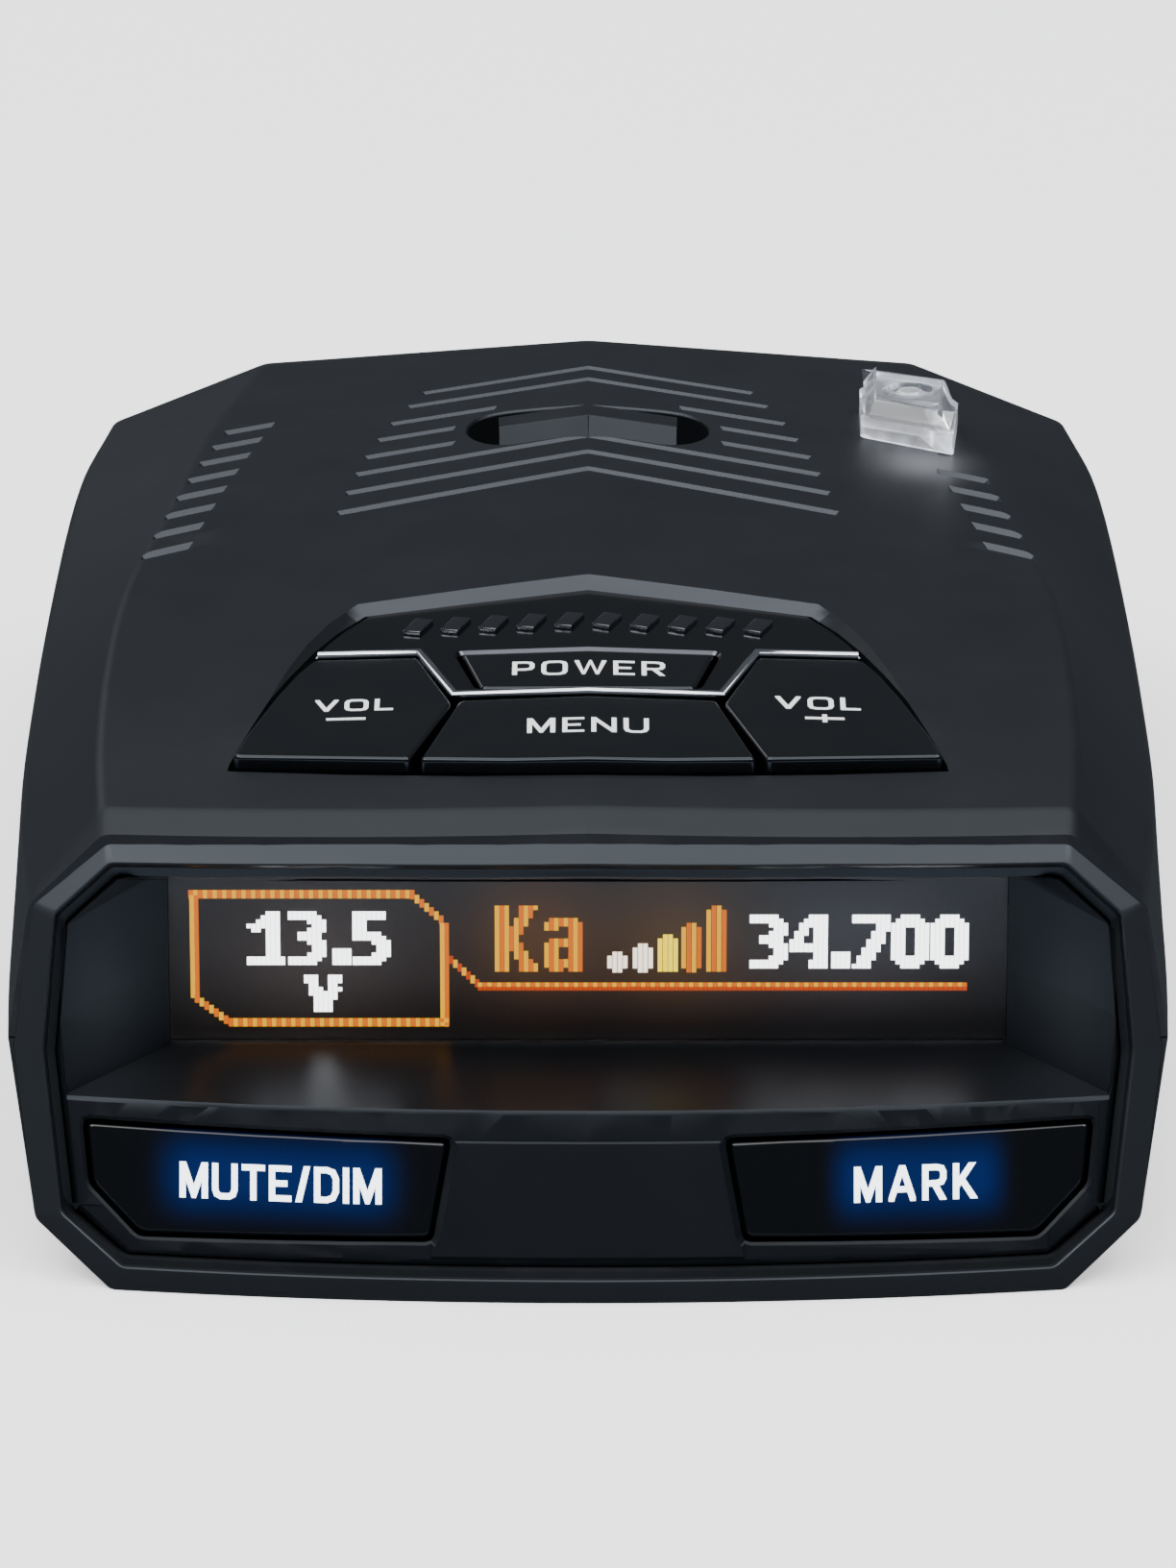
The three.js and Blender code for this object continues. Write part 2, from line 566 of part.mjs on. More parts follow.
addPart("rear_laser_board", box([21.0, 98.5, 20.4], [28.8, 108.5, 21.8]).add(
  cylinder(2.6, 21.7, 24.4, 25.6, 103.4, 16)), 0x1f4a33);

// windshield-end sensor window
const NOSE_YAW = -Math.atan2(2.5, 27.5);

function turnedBox(width, deep, low, high, x, y) {
  const g = new THREE.BoxGeometry(width, deep, high - low);
  g.rotateZ(NOSE_YAW);
  g.translate(x, y, (low + high) / 2);
  return toSolid(g);
}

upper = upper.subtract(turnedBox(11.6, 8, 17.6, 24.6, 19.2, BODY_LENGTH - 1.7));
addPart("nose_laser_lens", turnedBox(11.2, 1.6, 17.8, 24.4, 19.2, BODY_LENGTH - 2.7), 0x2a0d12, { roughness: 0.1 });
addPart("nose_laser_board", box([14.5, 125.6, 17.6], [24.5, 127, 24.2]).add(box([17, 126.9, 18.8], [22, 129.6, 23])),
  0x1f4a33);
addPart("upper_shell", upper, 0x2b2e33);
addPart("mount_release_button", button, 0x202226);
addPart("mount_latch", box([-3.6, 99, LATCH_LOW], [3.6, 118, LATCH_HIGH]).add(
  box([-2.3, 114.8, LATCH_LOW], [2.3, 117.8, SLOT_LOW + 0.9])),
  0x8e9297, { metalness: 0.9 });

// release spring: a round wire wound under the button stem
function coil(radius, wire, turns, low, high, x, y) {
  const steps = turns * 18;
  const sides = 8;
  const points = [];
  const triangles = [];
  const rise = (high - low - 2 * wire) / (2 * Math.PI * turns);
  for (let i = 0; i <= steps; i += 1) {
    const a = (2 * Math.PI * turns * i) / steps;
    const centre = new THREE.Vector3(radius * Math.cos(a), radius * Math.sin(a), low + wire + rise * a);
    const outward = new THREE.Vector3(Math.cos(a), Math.sin(a), 0);
    const along = new THREE.Vector3(-radius * Math.sin(a), radius * Math.cos(a), rise).normalize();
    const up = new THREE.Vector3().crossVectors(along, outward);
    for (let j = 0; j < sides; j += 1) {
      const b = (2 * Math.PI * j) / sides;
      const p = centre.clone().addScaledVector(outward, wire * Math.cos(b)).addScaledVector(up, wire * Math.sin(b));
      points.push(p.x + x, p.y + y, p.z);
    }
  }
  const ringAt = (i, j) => i * sides + (j % sides);
  for (let i = 0; i < steps; i += 1) {
    for (let j = 0; j < sides; j += 1) {
      triangles.push(ringAt(i, j), ringAt(i, j + 1), ringAt(i + 1, j + 1));
      triangles.push(ringAt(i, j), ringAt(i + 1, j + 1), ringAt(i + 1, j));
    }
  }
  for (let j = 1; j < sides - 1; j += 1) {
    triangles.push(ringAt(0, 0), ringAt(0, j + 1), ringAt(0, j));
    triangles.push(ringAt(steps, 0), ringAt(steps, j), ringAt(steps, j + 1));
  }
  const g = new THREE.BufferGeometry();
  g.setAttribute("position", new THREE.BufferAttribute(new Float32Array(points), 3));
  g.setIndex(triangles);
  const solid = toSolid(g);
  return solid;
}

const SPRING_LOW = 6.3;
const SPRING_HIGH = 14.7;
addPart("release_spring", coil(2.2, 0.35, 5, SPRING_LOW, SPRING_HIGH, 0, 102.3), 0xb9bdc2, { metalness: 1 });

// lower shell
let lower = outer.subtract(cavity).subtract(box([-60, -20, PART_LINE - SEAM / 2], [60, 160, 60]));
const posts = SCREW_PLACES.map(([x, y]) => cylinder(3.6, 0.5, PART_LINE - 0.15, x, y).intersect(outer));
const springPost = cylinder(3.4, 0.5, SPRING_LOW - 0.2, 0, 102.3, 24);
lower = joined([lower, ...posts, springPost.intersect(outer)]);
SCREW_PLACES.forEach(([x, y]) => {
  lower = lower.subtract(cylinder(1.5, -1, 20, x, y, 16)).subtract(cylinder(2.9, -1, 2.6, x, y, 24));
});
const LABEL = [[-24, 40], [24, 72]];
lower = lower.subtract(box([LABEL[0][0], LABEL[0][1], -1], [LABEL[1][0], LABEL[1][1], 0.4]));
addPart("rating_label", box([LABEL[0][0] + 0.3, LABEL[0][1] + 0.3, 0.12], [LABEL[1][0] - 0.3, LABEL[1][1] - 0.3, 0.35]),
  0xc9ccd0);

// speaker grille slots in the floor
const SPEAKER = [0, 84];
for (let i = -3; i <= 3; i += 1) {
  const half = Math.sqrt(11.5 ** 2 - (i * 3) ** 2);
  lower = lower.subtract(box([-half, SPEAKER[1] + i * 3 - 0.6, -1], [half, SPEAKER[1] + i * 3 + 0.6, 4]));
}

// sockets on the user's left side
const POWER_PORT = [84, 6.2];
const USB_PORT = [70, 6.6];
const AUDIO_PORT = [59, 6.8];
lower = lower.subtract(box([-60, POWER_PORT[0] - 5.4, 2.6], [-30, POWER_PORT[0] + 5.4, 11.6]));
lower = lower.subtract(box([-60, USB_PORT[0] - 4.2, 4.8], [-30, USB_PORT[0] + 4.2, 8.4]));
const audioHole = new THREE.CylinderGeometry(3.3, 3.3, 30, 24);
audioHole.rotateZ(Math.PI / 2);
audioHole.translate(-45, AUDIO_PORT[0], AUDIO_PORT[1]);
lower = lower.subtract(toSolid(audioHole));
addPart("lower_shell", lower, 0x26292d);

const jack = box([-41.2, POWER_PORT[0] - 5.1, 2.9], [-25, POWER_PORT[0] + 5.1, 11.3])
  .subtract(box([-45, POWER_PORT[0] - 3.6, 4.0], [-29, POWER_PORT[0] + 3.6, 9.4]));
addPart("power_jack", jack, 0x17181a);
const usb = box([-41.6, USB_PORT[0] - 3.9, 5.1], [-34, USB_PORT[0] + 3.9, 8.1])
  .subtract(box([-45, USB_PORT[0] - 3.4, 5.5], [-36, USB_PORT[0] + 3.4, 7.7]))
  .add(box([-40, USB_PORT[0] - 2.6, 6.4], [-35.5, USB_PORT[0] + 2.6, 6.9]));
addPart("usb_port", usb, 0xa8acb0, { metalness: 1 });
const sleeve = new THREE.CylinderGeometry(3.0, 3.0, 9, 24);
sleeve.rotateZ(Math.PI / 2);
sleeve.translate(-37.4, AUDIO_PORT[0], AUDIO_PORT[1]);
const sleeveBore = new THREE.CylinderGeometry(1.8, 1.8, 9, 24);
sleeveBore.rotateZ(Math.PI / 2);
sleeveBore.translate(-38.6, AUDIO_PORT[0], AUDIO_PORT[1]);
const audio = toSolid(sleeve).add(box([-33.5, AUDIO_PORT[0] - 3.5, 3.2], [-24.5, AUDIO_PORT[0] + 3.5, 10.2]))
  .subtract(toSolid(sleeveBore));
addPart("audio_jack", audio, 0x141517);

// boards and radio parts
addPart("main_board", box([-29, 28, 13.0], [29, 84, 14.6]), 0x1f4a33);
addPart("processor_shield", box([-12, 50, 14.7], [12, 74, 17.4]), 0xb4b8bc, { metalness: 1 });
addPart("gps_antenna", box([15, 62, 14.8], [28, 75, 18.8]), 0xb9a98a);
addPart("rf_board", box([-16, 108.2, 13.0], [16, 129, 13.7]), 0x1f4a33);
addPart("rf_shield", box([-15, 106.6, 2.5], [15, 114.6, 12.8]), 0xa9adb1, { metalness: 1 });
const horn = loft([
  { top: [[-4, 115.2, 8], [-4, 115.2, 10], [4, 115.2, 10], [4, 115.2, 8]],
    bottom: [[-4, 115.2, 8], [-4, 115.2, 6], [4, 115.2, 6], [4, 115.2, 8]] },
  { top: [[-15, 131.2, 8.6], [-15, 131.2, 12.6], [15, 131.2, 12.6], [15, 131.2, 8.6]],
    bottom: [[-15, 131.2, 8.6], [-15, 131.2, 4.8], [15, 131.2, 4.8], [15, 131.2, 8.6]] },
]);
const hornHollow = loft([
  { top: [[-3, 117.2, 8], [-3, 117.2, 9], [3, 117.2, 9], [3, 117.2, 8]],
    bottom: [[-3, 117.2, 8], [-3, 117.2, 7], [3, 117.2, 7], [3, 117.2, 8]] },
  { top: [[-14.4, 133, 8.6], [-14.4, 133, 12.1], [14.4, 133, 12.1], [14.4, 133, 8.6]],
    bottom: [[-14.4, 133, 8.6], [-14.4, 133, 5.4], [14.4, 133, 5.4], [14.4, 133, 8.6]] },
]);
addPart("horn_antenna", horn.subtract(hornHollow), 0x9a9ea3, { metalness: 1 });

// speaker: frame, cone, magnet and dust mesh
const [SX, SY] = SPEAKER;
addPart("speaker_mesh", cylinder(12.2, 2.15, 2.4, SX, SY, 32), 0x1a1b1d);
addPart("speaker_frame", turned([[10.2, 2.6], [13.0, 2.6], [13.0, 4.4], [8.4, 7.6], [5.3, 7.6], [5.3, 7.0], [8.0, 7.0],
  [10.2, 4.6]], SX, SY), 0x33363a);
addPart("speaker_cone", turned([[0.01, 5.4], [3.6, 5.0], [9.6, 3.0], [10.0, 3.3], [3.9, 5.6], [0.01, 5.8]], SX, SY),
  0x222326);
addPart("speaker_magnet", cylinder(7.0, 7.8, 12.0, SX, SY, 32), 0x6d7176, { metalness: 1 });

// case screws
SCREW_PLACES.forEach(([x, y], i) => {
  const shaft = cylinder(1.15, 1.6, 21.5, x, y, 16);
  const head = cylinder(2.5, 0.6, 2.3, x, y, 24);
  const cross = box([x - 1.5, y - 0.35, 0], [x + 1.5, y + 0.35, 1.5]).add(box([x - 0.35, y - 1.5, 0], [x + 0.35, y + 1.5, 1.5]));
  addPart(`case_screw_${i + 1}`, shaft.add(head).subtract(cross), 0x4a4d52, { metalness: 1 });
});

export default group;
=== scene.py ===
import math
import bmesh
import bpy
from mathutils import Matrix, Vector


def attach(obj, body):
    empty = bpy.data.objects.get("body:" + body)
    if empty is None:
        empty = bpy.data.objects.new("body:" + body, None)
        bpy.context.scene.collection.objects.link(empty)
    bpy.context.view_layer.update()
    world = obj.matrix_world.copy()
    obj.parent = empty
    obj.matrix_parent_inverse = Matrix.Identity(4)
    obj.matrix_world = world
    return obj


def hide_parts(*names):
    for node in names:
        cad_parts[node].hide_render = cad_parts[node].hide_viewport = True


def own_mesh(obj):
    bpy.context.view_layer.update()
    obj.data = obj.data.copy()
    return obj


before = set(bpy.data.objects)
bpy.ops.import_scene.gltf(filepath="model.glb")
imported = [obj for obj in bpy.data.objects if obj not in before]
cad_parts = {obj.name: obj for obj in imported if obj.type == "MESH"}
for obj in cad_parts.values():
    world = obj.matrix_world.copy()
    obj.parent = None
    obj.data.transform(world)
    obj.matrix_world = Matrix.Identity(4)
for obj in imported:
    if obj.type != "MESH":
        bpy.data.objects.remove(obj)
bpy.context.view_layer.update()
scene = bpy.context.scene
middleY = 67.45  # half the body's length; the part's origin sits there
print("frame loaded")


cameraSet = {"tilt": 22.0, "lens": 226.08, "place": (0.0, -0.72211, 0.30564)}
cameraData = bpy.data.cameras.new("camera")
cameraData.lens = cameraSet["lens"]
cameraData.sensor_width = 36.0
cameraData.clip_start = 0.01
camera = bpy.data.objects.new("camera", cameraData)
camera.location = cameraSet["place"]
camera.rotation_euler = (math.radians(90.0 - cameraSet["tilt"]), 0.0, 0.0)
scene.collection.objects.link(camera)
scene.camera = camera


def nodeMaterial(name):
    material = bpy.data.materials.new(name)
    material.use_nodes = True
    material.node_tree.nodes.clear()
    return material, material.node_tree


def addNode(tree, kind, **values):
    node = tree.nodes.new(kind)
    for key, value in values.items():
        setattr(node, key, value)
    return node


def floorAndLight():
    settings = {"floor": (0.9, 0.905, 0.915, 1), "world": 0.12, "ceiling": 4.2,
                "ceilingAngle": 80.0, "lift": 0.75, "fade": (-0.13, -0.09),
                "nearMirror": (0.62, 0.7, 0.8, 1), "farMirror": (0.06, 0.068, 0.08, 1)}
    mesh = bpy.data.meshes.new("floor")
    mesh.from_pydata([(-4, -3, 0), (4, -3, 0), (4, 6, 0), (-4, 6, 0)], [], [(0, 1, 2, 3)])
    floor = bpy.data.objects.new("floor", mesh)
    scene.collection.objects.link(floor)
    material, tree = nodeMaterial("paleFloor")
    out = addNode(tree, "ShaderNodeOutputMaterial")
    paint = addNode(tree, "ShaderNodeBsdfPrincipled")
    paint.inputs["Base Color"].default_value = settings["floor"]
    paint.inputs["Roughness"].default_value = 0.6
    paint.inputs["Specular IOR Level"].default_value = 0.2
    paint.inputs["Emission Color"].default_value = (1, 1, 1, 1)
    paint.inputs["Emission Strength"].default_value = settings["lift"]
    flag = addNode(tree, "ShaderNodeBsdfDiffuse")  # what glossy surfaces see of the floor
    place = addNode(tree, "ShaderNodeTexCoord")
    split = addNode(tree, "ShaderNodeSeparateXYZ")
    fade = addNode(tree, "ShaderNodeMapRange")
    shade = addNode(tree, "ShaderNodeMix", data_type="RGBA")
    for label, value in zip(("From Min", "From Max"), settings["fade"]):
        fade.inputs[label].default_value = value
    shade.inputs["A"].default_value = settings["nearMirror"]
    shade.inputs["B"].default_value = settings["farMirror"]
    tree.links.new(place.outputs["Object"], split.inputs[0])
    tree.links.new(split.outputs["Y"], fade.inputs["Value"])
    tree.links.new(fade.outputs["Result"], shade.inputs["Factor"])
    tree.links.new(shade.outputs["Result"], flag.inputs["Color"])
    path = addNode(tree, "ShaderNodeLightPath")
    blend = addNode(tree, "ShaderNodeMixShader")
    tree.links.new(path.outputs["Is Glossy Ray"], blend.inputs[0])
    tree.links.new(paint.outputs[0], blend.inputs[1])
    tree.links.new(flag.outputs[0], blend.inputs[2])
    tree.links.new(blend.outputs[0], out.inputs[0])
    mesh.materials.append(material)
    world = bpy.data.worlds.new("studio")
    world.use_nodes = True
    world.node_tree.nodes["Background"].inputs[0].default_value = (0.82, 0.9, 1.0, 1)
    world.node_tree.nodes["Background"].inputs[1].default_value = settings["world"]
    scene.world = world
    lamps = [
        # name, place, aim, width, depth, watts
        ("highFront", (-0.1, -0.75, 1.15), (0.0, 0.0, 0.0), 0.9, 0.55, 4.5),
        ("highLeft", (-0.7, -0.25, 1.05), (0.0, 0.0, 0.0), 0.6, 0.6, 6.5),
        ("highRight", (0.7, -0.25, 1.05), (0.0, 0.0, 0.0), 0.6, 0.6, 6.0),
        ("rearLeft", (-0.9, 1.3, 0.75), (-0.1, 0.0, 0.0), 0.9, 0.45, 1.8),
        ("leftWall", (-1.1, -0.1, 0.4), (0.0, 0.0, 0.0), 0.4, 0.6, 0.5),
    ]
    for name, place, aim, wide, deep, watts in lamps:
        data = bpy.data.lights.new(name, "AREA")
        data.shape = "RECTANGLE"
        data.size = wide
        data.size_y = deep
        data.energy = watts
        lamp = bpy.data.objects.new(name, data)
        lamp.location = place
        lamp.rotation_euler = (Vector(aim) - Vector(place)).to_track_quat("-Z", "Y").to_euler()
        scene.collection.objects.link(lamp)
    data = bpy.data.lights.new("ceiling", "SUN")  # a wide soft ceiling, lights floor and roof evenly
    data.angle = math.radians(settings["ceilingAngle"])
    data.energy = settings["ceiling"]
    lamp = bpy.data.objects.new("ceiling", data)
    lamp.rotation_euler = (0.0, math.radians(-3.0), 0.0)
    scene.collection.objects.link(lamp)


floorAndLight()
print("camera, floor and light ready")


def newGroup(name, kind, inputs, outputs):
    group = bpy.data.node_groups.new(name, kind)
    for label, sort, value in inputs:
        socket = group.interface.new_socket(name=label, in_out="INPUT", socket_type=sort)
        if value is not None:
            socket.default_value = value
    for label, sort in outputs:
        group.interface.new_socket(name=label, in_out="OUTPUT", socket_type=sort)
    start = group.nodes.new("NodeGroupInput")
    end = group.nodes.new("NodeGroupOutput")
    return group, start, end


def linkUp(tree, *pairs):
    for source, target in pairs:
        tree.links.new(source, target)


def mathNode(tree, operation, first, second=None, clamp=False):
    node = addNode(tree, "ShaderNodeMath", operation=operation, use_clamp=clamp)
    for slot, value in ((0, first), (1, second)):
        if value is None:
            continue
        if isinstance(value, (int, float)):
            node.inputs[slot].default_value = value
        else:
            tree.links.new(value, node.inputs[slot])
    return node.outputs[0]


def mouldGrainGroup():  # fine moulded texture: a height and a soft shade variation
    group, start, end = newGroup(
        "mouldGrain", "ShaderNodeTree",
        [("Scale", "NodeSocketFloat", 1.0), ("Mottle", "NodeSocketFloat", 0.3)],
        [("Height", "NodeSocketFloat"), ("Shade", "NodeSocketFloat")])
    place = addNode(group, "ShaderNodeTexCoord")
    fine = addNode(group, "ShaderNodeTexNoise")
    fine.inputs["Detail"].default_value = 3.0
    fine.inputs["Roughness"].default_value = 0.6
    fineScale = mathNode(group, "MULTIPLY", start.outputs["Scale"], 6500.0)
    broad = addNode(group, "ShaderNodeTexNoise")
    broad.inputs["Scale"].default_value = 45.0
    broad.inputs["Detail"].default_value = 4.0
    linkUp(group, (place.outputs["Object"], fine.inputs["Vector"]), (fineScale, fine.inputs["Scale"]),
           (place.outputs["Object"], broad.inputs["Vector"]), (fine.outputs["Fac"], end.inputs["Height"]))
    swing = mathNode(group, "SUBTRACT", broad.outputs["Fac"], 0.5)
    shade = mathNode(group, "ADD", mathNode(group, "MULTIPLY", swing, start.outputs["Mottle"]), 0.5)
    linkUp(group, (shade, end.inputs["Shade"]))
    return group


def edgeWearAndGlintGroup():  # lighter rubbed corners, broken up by noise; the clear acrylic also uses this mask for a painted glint
    group, start, end = newGroup(
        "edgeWearAndGlint", "ShaderNodeTree",
        [("Amount", "NodeSocketFloat", 0.5), ("Breakup", "NodeSocketFloat", 300.0)],
        [("Mask", "NodeSocketFloat")])
    shape = addNode(group, "ShaderNodeNewGeometry")
    place = addNode(group, "ShaderNodeTexCoord")
    noise = addNode(group, "ShaderNodeTexNoise")
    noise.inputs["Detail"].default_value = 5.0
    ramp = addNode(group, "ShaderNodeMapRange")
    ramp.inputs["From Min"].default_value = 0.53
    ramp.inputs["From Max"].default_value = 0.62
    linkUp(group, (place.outputs["Object"], noise.inputs["Vector"]),
           (start.outputs["Breakup"], noise.inputs["Scale"]),
           (shape.outputs["Pointiness"], ramp.inputs["Value"]))
    mask = mathNode(group, "MULTIPLY", ramp.outputs["Result"], noise.outputs["Fac"])
    linkUp(group, (mathNode(group, "MULTIPLY", mask, start.outputs["Amount"], True), end.inputs["Mask"]))
    return group


def dustFilmGroup():  # thin settled dust on faces that look up
    group, start, end = newGroup(
        "dustFilm", "ShaderNodeTree",
        [("Amount", "NodeSocketFloat", 0.1)], [("Mask", "NodeSocketFloat")])
    shape = addNode(group, "ShaderNodeNewGeometry")
    place = addNode(group, "ShaderNodeTexCoord")
    split = addNode(group, "ShaderNodeSeparateXYZ")
    noise = addNode(group, "ShaderNodeTexNoise")
    noise.inputs["Scale"].default_value = 160.0
    noise.inputs["Detail"].default_value = 6.0
    linkUp(group, (shape.outputs["Normal"], split.inputs[0]),
           (place.outputs["Object"], noise.inputs["Vector"]))
    upward = mathNode(group, "MAXIMUM", split.outputs["Z"], 0.0)
    mask = mathNode(group, "MULTIPLY", upward, mathNode(group, "POWER", noise.outputs["Fac"], 2.0))
    linkUp(group, (mathNode(group, "MULTIPLY", mask, start.outputs["Amount"], True), end.inputs["Mask"]))
    return group


mouldGrain = mouldGrainGroup()
edgeWearAndGlint = edgeWearAndGlintGroup()
dustFilm = dustFilmGroup()


def useGroup(tree, group, **values):
    node = tree.nodes.new("ShaderNodeGroup")
    node.node_tree = group
    for key, value in values.items():
        node.inputs[key].default_value = value
    return node


def toPart(point):
    return (point[0] * 0.001, (point[1] - middleY) * 0.001, point[2] * 0.001)


def softSpot(tree, centre, reach):  # mask for a painted light spot: one at the centre, fading out over the given distances in mm
    place = addNode(tree, "ShaderNodeTexCoord")
    shift = addNode(tree, "ShaderNodeMapping", vector_type="TEXTURE")
    shift.inputs["Location"].default_value = toPart(centre)
    shift.inputs["Scale"].default_value = [c * 0.001 for c in reach]
    length = addNode(tree, "ShaderNodeVectorMath", operation="LENGTH")
    linkUp(tree, (place.outputs["Object"], shift.inputs["Vector"]), (shift.outputs[0], length.inputs[0]))
    square = mathNode(tree, "MULTIPLY", length.outputs["Value"], length.outputs["Value"])
    return mathNode(tree, "EXPONENT", mathNode(tree, "MULTIPLY", square, -2.0))


def mouldedPlastic(name, dark, light, gloss, bump=0.02, wear=0.25, dust=0.05, coat=0.0, metal=0.0,
                   specular=0.5, paintedLightSpots=(), paintedLightTone=(0.1, 0.1, 0.1), paintedChamferHighlight=None):
    material, tree = nodeMaterial(name)
    out = addNode(tree, "ShaderNodeOutputMaterial")
    skin = addNode(tree, "ShaderNodeBsdfPrincipled")
    texture = useGroup(tree, mouldGrain, Scale=1.0, Mottle=0.6)
    rubbed = useGroup(tree, edgeWearAndGlint, Amount=wear, Breakup=420.0)
    dusty = useGroup(tree, dustFilm, Amount=dust)
    tone = addNode(tree, "ShaderNodeMix", data_type="RGBA")
    tone.inputs["A"].default_value = (*dark, 1)
    tone.inputs["B"].default_value = (*light, 1)
    linkUp(tree, (texture.outputs["Shade"], tone.inputs["Factor"]))
    worn = addNode(tree, "ShaderNodeMix", data_type="RGBA")
    worn.inputs["B"].default_value = (*[min(1.0, c * 2.2 + 0.02) for c in light], 1)
    linkUp(tree, (tone.outputs["Result"], worn.inputs["A"]),
           (rubbed.outputs["Mask"], worn.inputs["Factor"]))
    film = addNode(tree, "ShaderNodeMix", data_type="RGBA")
    film.inputs["B"].default_value = (0.32, 0.32, 0.31, 1)
    linkUp(tree, (worn.outputs["Result"], film.inputs["A"]), (dusty.outputs["Mask"], film.inputs["Factor"]))
    surface = film.outputs["Result"]
    # painted light: each spot mixes the colour towards a lighter tone, standing in for light falling there
    for centre, reach in paintedLightSpots:
        lit = addNode(tree, "ShaderNodeMix", data_type="RGBA")
        lit.inputs["B"].default_value = (*paintedLightTone, 1)
        linkUp(tree, (surface, lit.inputs["A"]), (softSpot(tree, centre, reach), lit.inputs["Factor"]))
        surface = lit.outputs["Result"]
    if paintedChamferHighlight:  # painted highlight: cut edges that lean back towards the user get a lighter colour
        side = addNode(tree, "ShaderNodeNewGeometry")
        place = addNode(tree, "ShaderNodeTexCoord")
        lean, spot = addNode(tree, "ShaderNodeSeparateXYZ"), addNode(tree, "ShaderNodeSeparateXYZ")
        steep = addNode(tree, "ShaderNodeMapRange")
        behind = mathNode(tree, "GREATER_THAN", spot.outputs["Y"], -0.0145)
        cut = addNode(tree, "ShaderNodeMix", data_type="RGBA")
        for label, value in zip(("From Min", "From Max"), (-0.3, -0.5)):
            steep.inputs[label].default_value = value
        cut.inputs["B"].default_value = (*paintedChamferHighlight, 1)
        linkUp(tree, (side.outputs["Normal"], lean.inputs[0]), (place.outputs["Object"], spot.inputs[0]),
               (lean.outputs["Y"], steep.inputs["Value"]), (surface, cut.inputs["A"]))
        raised = mathNode(tree, "GREATER_THAN", lean.outputs["Z"], 0.35)  # upright walls stay dark
        zone = mathNode(tree, "MULTIPLY", behind, raised)
        linkUp(tree, (mathNode(tree, "MULTIPLY", steep.outputs["Result"], zone), cut.inputs["Factor"]))
        surface = cut.outputs["Result"]
    linkUp(tree, (surface, skin.inputs["Base Color"]))
    rough = mathNode(tree, "MULTIPLY_ADD", texture.outputs["Shade"], 0.12)
    rough.node.inputs[2].default_value = gloss - 0.06
    linkUp(tree, (rough, skin.inputs["Roughness"]))
    relief = addNode(tree, "ShaderNodeBump")
    relief.inputs["Strength"].default_value = bump * 10
    relief.inputs["Distance"].default_value = 0.00002
    linkUp(tree, (texture.outputs["Height"], relief.inputs["Height"]),
           (relief.outputs[0], skin.inputs["Normal"]),
           (skin.outputs[0], out.inputs[0]))
    skin.inputs["Coat Weight"].default_value = coat
    skin.inputs["Coat Roughness"].default_value = 0.08
    skin.inputs["Metallic"].default_value = metal
    skin.inputs["Specular IOR Level"].default_value = specular
    if metal == 0:
        skin.inputs["Specular Tint"].default_value = (0.78, 0.89, 1.0, 1)
    return material


# painted light: the shell colour holds a painted pool of light in front of the rear lens and painted
# highlights on chamfers that face the user
shellPlastic = mouldedPlastic("shellPlastic", (0.0042, 0.0048, 0.0062), (0.0066, 0.0074, 0.0092), 0.43,
                              bump=0.016,
                              dust=0.015, specular=0.22,
                              paintedLightSpots=[((27.0, 92.9, 31.5), (4.2, 6.4, 9))], paintedLightTone=(0.1, 0.103, 0.11),
                              paintedChamferHighlight=(0.045, 0.048, 0.055))
ringPlastic = mouldedPlastic("ringPlastic", (0.0060, 0.0068, 0.0085), (0.0084, 0.0094, 0.0115), 0.38,
                             bump=0.010,
                             dust=0.015, specular=0.34)
# painted light: two lighter patches on the lit side walls of the display recess
panelPlastic = mouldedPlastic("panelPlastic", (0.0022, 0.0026, 0.0038), (0.0036, 0.0042, 0.0056), 0.38,
                              bump=0.008,
                              dust=0.012, specular=0.24, paintedLightTone=(0.012, 0.0135, 0.016),
                              paintedLightSpots=[((-35.6, 13.5, 19), (5, 6, 9)), ((35.6, 13.5, 19), (5, 6, 9))])
keyGloss = mouldedPlastic("keyGloss", (0.0012, 0.0014, 0.0020), (0.0018, 0.0022, 0.0030), 0.16, bump=0.003,
                          wear=0.05,
                          dust=0.01, specular=0.4)
barPlastic = mouldedPlastic("barPlastic", (0.0046, 0.0052, 0.0066), (0.0070, 0.0078, 0.0096), 0.36,
                            bump=0.012,
                            dust=0.02, specular=0.2)
darkChrome = mouldedPlastic("darkChrome", (0.05, 0.052, 0.06), (0.07, 0.073, 0.082), 0.14, bump=0.004,
                            wear=0.2,
                            dust=0.01, metal=1.0)
tickChrome = mouldedPlastic("tickChrome", (0.16, 0.165, 0.18), (0.2, 0.205, 0.22), 0.16, bump=0.004,
                            wear=0.3, dust=0.0,
                            metal=1.0)
brightChrome = mouldedPlastic("brightChrome", (0.62, 0.64, 0.68), (0.72, 0.74, 0.78), 0.1, bump=0.003,
                              wear=0.0,
                              dust=0.0, metal=1.0)
boardMask = mouldedPlastic("boardMask", (0.008, 0.06, 0.03), (0.012, 0.085, 0.045), 0.3, bump=0.02,
                           wear=0.1)
blackPart = mouldedPlastic("blackPart", (0.012, 0.012, 0.013), (0.018, 0.018, 0.02), 0.45)
platedSteel = mouldedPlastic("platedSteel", (0.5, 0.51, 0.53), (0.62, 0.63, 0.65), 0.28, wear=0.1,
                             metal=1.0)
castAlloy = mouldedPlastic("castAlloy", (0.42, 0.43, 0.44), (0.52, 0.53, 0.54), 0.45, bump=0.05, metal=1.0)
